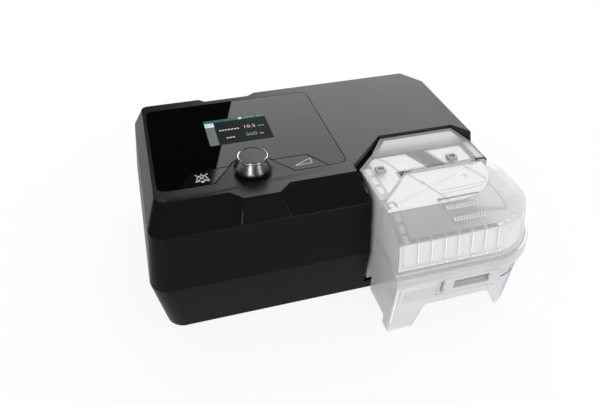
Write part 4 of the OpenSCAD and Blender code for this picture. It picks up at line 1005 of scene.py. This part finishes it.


# %% [markdown]
# ### Inside the lid
# The tray gives the lid's light flat top, and the slanted plate gives the slant its painted shade, grey at the
# left and lighter to the right. The thin walls behind the front and left sides keep the eye from falling
# through to the dark bay; the left ones are a darker grey, painted shade of the left side.

# %% Tray and inner walls of the lid
HINGE_X, HINGE_Y = 59.94, -39.47  # where the hinge line turns towards the front
TRAY_Z, TRAY_T = tank_top - 3.1, 0.5

tray = [Vector((HINGE_X + 0.9, HINGE_Y - 1.1)), Vector((LINE_X, HINGE_Y - HINGE_X + LINE_X - 1.9))]
tray += front_round(FLAT, ROUND_R - 1.2)[:-1] + [Vector((FLAT.x + ROUND_R - 1.3, HINGE_Y - 1.1))]
plates("lid_tray", [tray], TRAY_Z, TRAY_Z + TRAY_T, "lid", "milk_white")


def round_to_hinge(centre, radius, gap):
    """The front line carried on along the right side, up to a gap before the hinge."""
    line = front_round(centre, radius)
    return line + [Vector((line[-1].x, HINGE_Y - gap))]


slant_low, slant_top = round_to_hinge(RIM, ROUND_R - 2.5, 3.2), round_to_hinge(FLAT, ROUND_R - 2.5, 2.6)
# a grey sheet under the slant, there to paint the slant's shade
sheet("lid_slant_shade_plate", slant_low, RIM_Z - 3.0, slant_top, TRAY_Z, "lid", "milk_painted_shade")
wall_low = front_round(JOINT, JOINT_R - 3.2) + [Vector((JOINT.x + JOINT_R - 3.2, HINGE_Y - 3.4))]
wall_top = front_round(RIM, ROUND_R - 3.3) + [Vector((RIM.x + ROUND_R - 3.3, HINGE_Y - 3.4))]
sheet("lid_inner_wall", wall_low, JOINT_Z, wall_top, RIM_Z - 3.4, "lid", "milk_light")

# %% Inner walls of the sides and the back
def side_wall(name, start, end, body):
    """Inner wall along the tank's left side, between two depths. Its darker grey is painted shade of the left
    side.
    """
    steps = (start, *range(int(start) + 1, int(end), 2), end)
    outline = [(LINE_X, y) for y in steps] + [(LINE_X - SHEET_T, y) for y in reversed(steps)]
    bm = bmesh.new()
    add_plate(bm, outline, JOINT_Z, lambda x, y: lid_height(x, y) - 1.2)
    new_piece(bm, name, body, "milk_band")


def lining(name, low, high):
    """Milky lining inside the tank's back left, back and right walls, between two heights."""
    line = [(27.0, -30.0), (27.0, -27.4), (42.2, -12.2), (125.4, -12.2), (125.4, -37.2)]
    sheet(name, line, low, line, high, "tank", "milk_light")


lining("rear_top_lining", JOINT_Z, 105.6)
lining("tub_lining", 32.0, 65.0)
# the left inner walls are darker than the front one: painted shade of the tank's left side
side_wall("lid_inner_side", -107.8, -77.2, "lid")
side_wall("rear_inner_side", -73.6, -28.0, "tank")
print("lid: tray, slanted plate and inner walls")

# %% [markdown]
# ### Rear of the tank's top
# Behind the hinge the top is fixed. It has a white plate at the left, a raised white box at the right, a grey
# channel between them for the air, and a flange that rises to the back of the bay. The flat ones are plates.
# The flange's lining is a row of strips, each laid under its sloping roof, and carries a painted shadow, dark
# at the flange's foot.

# %% Rear plates
REAR_Z = 106.4  # under the rear top's clear skin
WALL_Y, EDGE_Y = -11.7, -34.2  # inner face of the rear wall, and the plates' edge at the hinge

left_plate = [
    (36.6, WALL_Y - 4.9), (41.6, WALL_Y), (79.7, WALL_Y), (86.6, EDGE_Y), (53.2, EDGE_Y),
    (53.2, -45.4), (36.6, -62.0),
]
box_plan = [(93.6, WALL_Y), (125.3, WALL_Y), (125.3, EDGE_Y), (101.0, EDGE_Y)]
channel = [(79.9, WALL_Y), (93.4, WALL_Y), (100.8, EDGE_Y), (86.8, EDGE_Y)]
for name, outline, low, high, material, edge in (
    ("rear_left_plate", left_plate, REAR_Z, 106.9, "milk_white", 0),
    ("rear_air_box", box_plan, 97.5, 107.2, "milk_white", 0.8),
    ("rear_channel", channel, 97.0, 97.6, "milk_grey", 0),
):
    plates(name, [outline], low, high, "tank", material, edge)
print("three rear plates")

# %% Rear flange
FLANGE_LEFT, FLANGE_RIGHT = 46.5, 133.0
FLANGE_STRIPS = 8


def under_ramp(gap):
    """Places under the rear flange's sloping roof."""
    return lambda x, y: meet(rear_rays, (x, y, 130), -UP) - UP * gap


ramp_front, ramp_back = -8.6, rear_high.y - 2.2
bm = bmesh.new()
strip(bm, [(FLANGE_LEFT, ramp_front), (FLANGE_RIGHT, ramp_front)], 1.6, under_ramp(2.5), UP, 0.4)
for i in range(1, FLANGE_STRIPS + 1):
    back = (ramp_back - ramp_front) * i / FLANGE_STRIPS
    left, right, y = FLANGE_LEFT + back * 0.92, 131.5 - back * 0.55, ramp_front + back
    strip(bm, [(left, y), (right, y)], 1.9, under_ramp(2.5), UP, 0.4)
# the lining's gradient is a painted shadow, dark at the flange's foot
new_piece(bm, "rear_flange_lining", "tank", "milk_painted_shadow")
flange_side = [(129.2, -36.0), (134.2, -36.0), (134.2, -10.2), (129.2, -10.2)]
plates("rear_flange_side", [flange_side], 108.45, 108.8, "tank", "milk_light")
print(f"rear flange reaches y {rear_high.y:.1f} mm")

# %% [markdown]
# ### Bands and ladder
# Two grey bands run from the back over the lid and turn down its slant, two thin lines join them, and a
# ladder of small white windows runs along the left edge. They could be cut through the lid's mesh, but on the
# real lid they are printed or moulded on its inner face, so each is a strip laid under the clear face.

# %% Bands
band_rear = [(46.8, WALL_Y - 1.0), (50.9, -17.0), (56.6, -33.4)]
band_left = [(62.4, -41.8), (69.6, -57.0), (76.5, -73.8), (78.6, -81.5), (82.0, -90.6)]
band_right = [
    (113.4, -41.8), (119.0, -54.0), (124.2, -70.0), (126.8, -80.0), (128.0, -88.0), (127.3, -92.0),
    (124.0, -94.2), (113.0, -94.0), (101.8, -92.8), (84.0, -91.6),
]
band_lines = [[(78.4, -69.4), (123.0, -67.6)], [(77.2, -73.6), (124.4, -71.4)]]
hook_bar = [(70.0, -82.8), (104.4, -82.4)]
under = under_lid(0.3)
strips("band_rear", [band_rear], 2.0, level_at(106.95), UP, "tank", "milk_band")
strips("band_left", [band_left], 2.0, under, UP, "lid", "milk_band")
strips("band_right", [band_right], 2.3, under, UP, "lid", "milk_band")
strips("band_lines", band_lines, 0.7, under, UP, "lid", "milk_band")
strips("lid_hook_bar", [hook_bar], 1.1, level_at(tank_top), UP, "lid", "milk_dark", 0.5)
hook_end = arc(70.2, -82.8, 1.5, 0, 345, 23)
plates("lid_hook_end", [hook_end], tank_top, tank_top + 0.8, "lid", "milk_dark")
print("bands laid")

# %% Ladder
LADDER_X, LADDER_W = 31.9, 9.4
WINDOW_W, WINDOW_D, WINDOW_STEP = 4.6, 8.6, 13.1


def rungs(x, half, middles):
    """Short lines along the ladder, one about each middle."""
    return [[(x, y + half), (x, y - half)] for y in middles]


def ladder(name, start, end, place, body, material, thick=0.25):
    """One length of the ladder's ground band."""
    strips(name, [[(LADDER_X, start), (LADDER_X, end)]], LADDER_W, place, UP, body, material, thick)


ladder("ladder_rear", -23.5, -66.6, level_at(REAR_Z), "tank", "milk_band")
ladder("ladder_lid", -71.8, -83.6, under, "lid", "milk_band", 0.1)
# the ladder on the slant is darker than on the flat top: painted shade of the slant
ladder("ladder_slant", -84.4, -108.2, under_lid(0.45), "lid", "milk_dark")
rear_rungs = rungs(LADDER_X, WINDOW_D / 2, [-28.5 - WINDOW_STEP * i for i in range(3)])
lid_rungs = rungs(LADDER_X + 0.8, 3.8, [-77.8])
slant_rungs = rungs(LADDER_X + 0.8, 3.3, [-88.6, -97.6, -106.0])
strips("ladder_windows_rear", rear_rungs, WINDOW_W, level_at(REAR_Z + 0.25), UP, "tank", "milk_white")
strips("ladder_windows_lid", lid_rungs, WINDOW_W, under_lid(0.18), UP, "lid", "milk_white", 0.1)
# the slant's windows are grey, not white: painted shade of the slant
strips("ladder_windows_slant", slant_rungs, WINDOW_W, under_lid(0.2), UP, "lid", "milk_grey")
hinge_gap = ribbon([(30.6, -69.6), (59.2, -41.0), (126.0, -41.0)], 5.0)
plates("hinge_floor", [hinge_gap], 103.4, 103.9, "tank", "milk_light")
print("ladder laid")

# %% [markdown]
# ### Front wall and grips
# The lid's front wall carries upright ribs with a small bright dot at each foot, and a row of dark windows
# under the rim. Each rib is a white strip with a grey strip of painted shade at its left. Two grip pads with
# slanting ribs stand on the slant. The ribs are thin strips just inside the wall, because strips of real depth
# would cross it where it curves.

# %% Front ribs, dots and rim windows
RIB_STEP = 11.6
DOT_R = 0.75
RIM_ROW_Y = -107.4

rib_x = [42.4 + RIB_STEP * i for i in range(7)]
lid_inside = on_front(lid_rays, 2.55)
ribs = [[(x, 94.5), (x + 0.6, 75.5)] for x in rib_x]
# grey strips at the left of the ribs: painted shade of the ribs
rib_painted_shades = [[(x - 1.3, 94.5), (x - 0.7, 74.0)] for x in rib_x]
frame_line = [(29.5, 94.2), (30.5, 72.4), (118.0, 72.4)]
strips("front_ribs", ribs, 0.7, lid_inside, FORWARD, "lid", "milk_white", 0.05)
strips("front_rib_painted_shades", rib_painted_shades, 0.5, lid_inside, FORWARD, "lid", "milk_grey", 0.05)
strips("front_frame_line", [frame_line], 0.6, lid_inside, FORWARD, "lid", "milk_grey", 0.06)
bm = bmesh.new()
for x in rib_x:
    spot = Matrix.Translation(on_front(lid_rays, 0.25)(x + 1.4, 73.3) * MM)
    bmesh.ops.create_uvsphere(bm, u_segments=12, v_segments=8, radius=DOT_R * MM, matrix=spot)
new_piece(bm, "front_dots", "lid", "milk_white")

rim_starts = [29.6] + [x + 1.4 for x in rib_x[:-1]]
rim_ends = [x - 1.4 for x in rib_x]
rim_row = [[(a, RIM_ROW_Y), (b, RIM_ROW_Y)] for a, b in zip(rim_starts, rim_ends)]
strips("rim_windows", rim_row, 2.6, under_lid(0.4), UP, "lid", "milk_dark")
rim_turns = [
    arc(RIM.x, RIM.y, ROUND_R - 4.4, a, a + math.degrees(0.12), 2) for a in (-86, -74, -62, -50, -38, -26)
]
strips("rim_windows_round", rim_turns, 1.6, under_lid(0.4), UP, "lid", "milk_white")
print(len(rib_x), "front ribs,", len(rim_row) + len(rim_turns), "rim windows")

# %% Grip pads
PAD_LONG, PAD_WIDE, PAD_T = 27.2, 3.4, 0.25
PAD_RIBS, PAD_RIB_STEP = 10, 2.55

pads, pad_ribs = bmesh.new(), bmesh.new()
for start, y in ((72.8, -90.9), (75.2, -100.4)):
    strip(pads, [(start, y), (start + PAD_LONG, y)], PAD_WIDE, on_lid(0), UP, PAD_T)
    for i in range(PAD_RIBS):
        x = start + 1.6 + i * PAD_RIB_STEP
        strip(pad_ribs, [(x, y - 1.3), (x + 1.5, y + 1.3)], 0.8, on_lid(PAD_T), UP, 0.3)
new_piece(pads, "grip_pads", "lid", "milk_light")
new_piece(pad_ribs, "grip_ribs", "lid", "milk_grey")
print("two grip pads with", PAD_RIBS, "ribs each")

# %% [markdown]
# ### Sides and tub
# The left wall has upright ribs and a black slit over the joint. The tub's band is edged with thin lines, has a
# painted highlight along its top rim at its right end, and its front panel has a darker border. All of them are
# strips again: the sides of the tub are flat or gently curved, and a strip follows both.

# %% Side ribs, slit and tub lines
side_inside = on_left(2.45)
lid_side_ribs = [[(-92.6, 96.5), (-92.9, 76.5)], [(-80.0, 99.0), (-80.3, 77.0)]]
rear_side_ribs = [[(-66.0, 100.0), (-66.4, 76.5)], [(-53.0, 101.0), (-53.4, 76.5)]]
slit = [(-77.0, 70.0), (-102.6, 70.0)]
strips("side_ribs_lid", lid_side_ribs, 0.8, side_inside, LEFTWARD, "lid", "milk_white", 0.08)
strips("side_ribs_rear", rear_side_ribs, 0.8, side_inside, LEFTWARD, "tank", "milk_white", 0.08)
strips("side_slit", [slit], 1.0, on_left(0.0), LEFTWARD, "lid", "slit_black", 0.12)

tub_front = on_front(tub_rays, 0.0)
band_edges = [[(25.5, 64.6), (128.0, 64.6)], [(25.5, 61.4), (128.0, 61.4)]]
ring_line = arc(JOINT.x, JOINT.y, 50.2, -62, -6, 20)
panel_border = [(29.6, 14.0), (31.4, 50.6), (62.0, 50.6)]
panel_edge = [(25.3, 12.0), (27.2, 53.5), (62.0, 53.5)]
slot_line = [(74.0, 50.2), (112.5, 50.2)]
strips("tub_band_lines", band_edges, 0.5, tub_front, FORWARD, "tank", "milk_grey", 0.08)
# a white strip on the band's top rim at the right end: painted highlight
strips("tub_rim_painted_highlight", [ring_line], 1.5, level_at(66.5), UP, "tank", "milk_white", 0.2)
strips("tub_panel_border", [panel_border], 2.8, tub_front, FORWARD, "tank", "milk_light", 0.1)
strips("tub_panel_edge", [panel_edge], 0.9, tub_front, FORWARD, "tank", "milk_white", 0.12)
strips("latch_slot_floor", [slot_line], 7.6, tub_front, FORWARD, "tank", "milk_white", 0.15)
print("sides and tub lined")
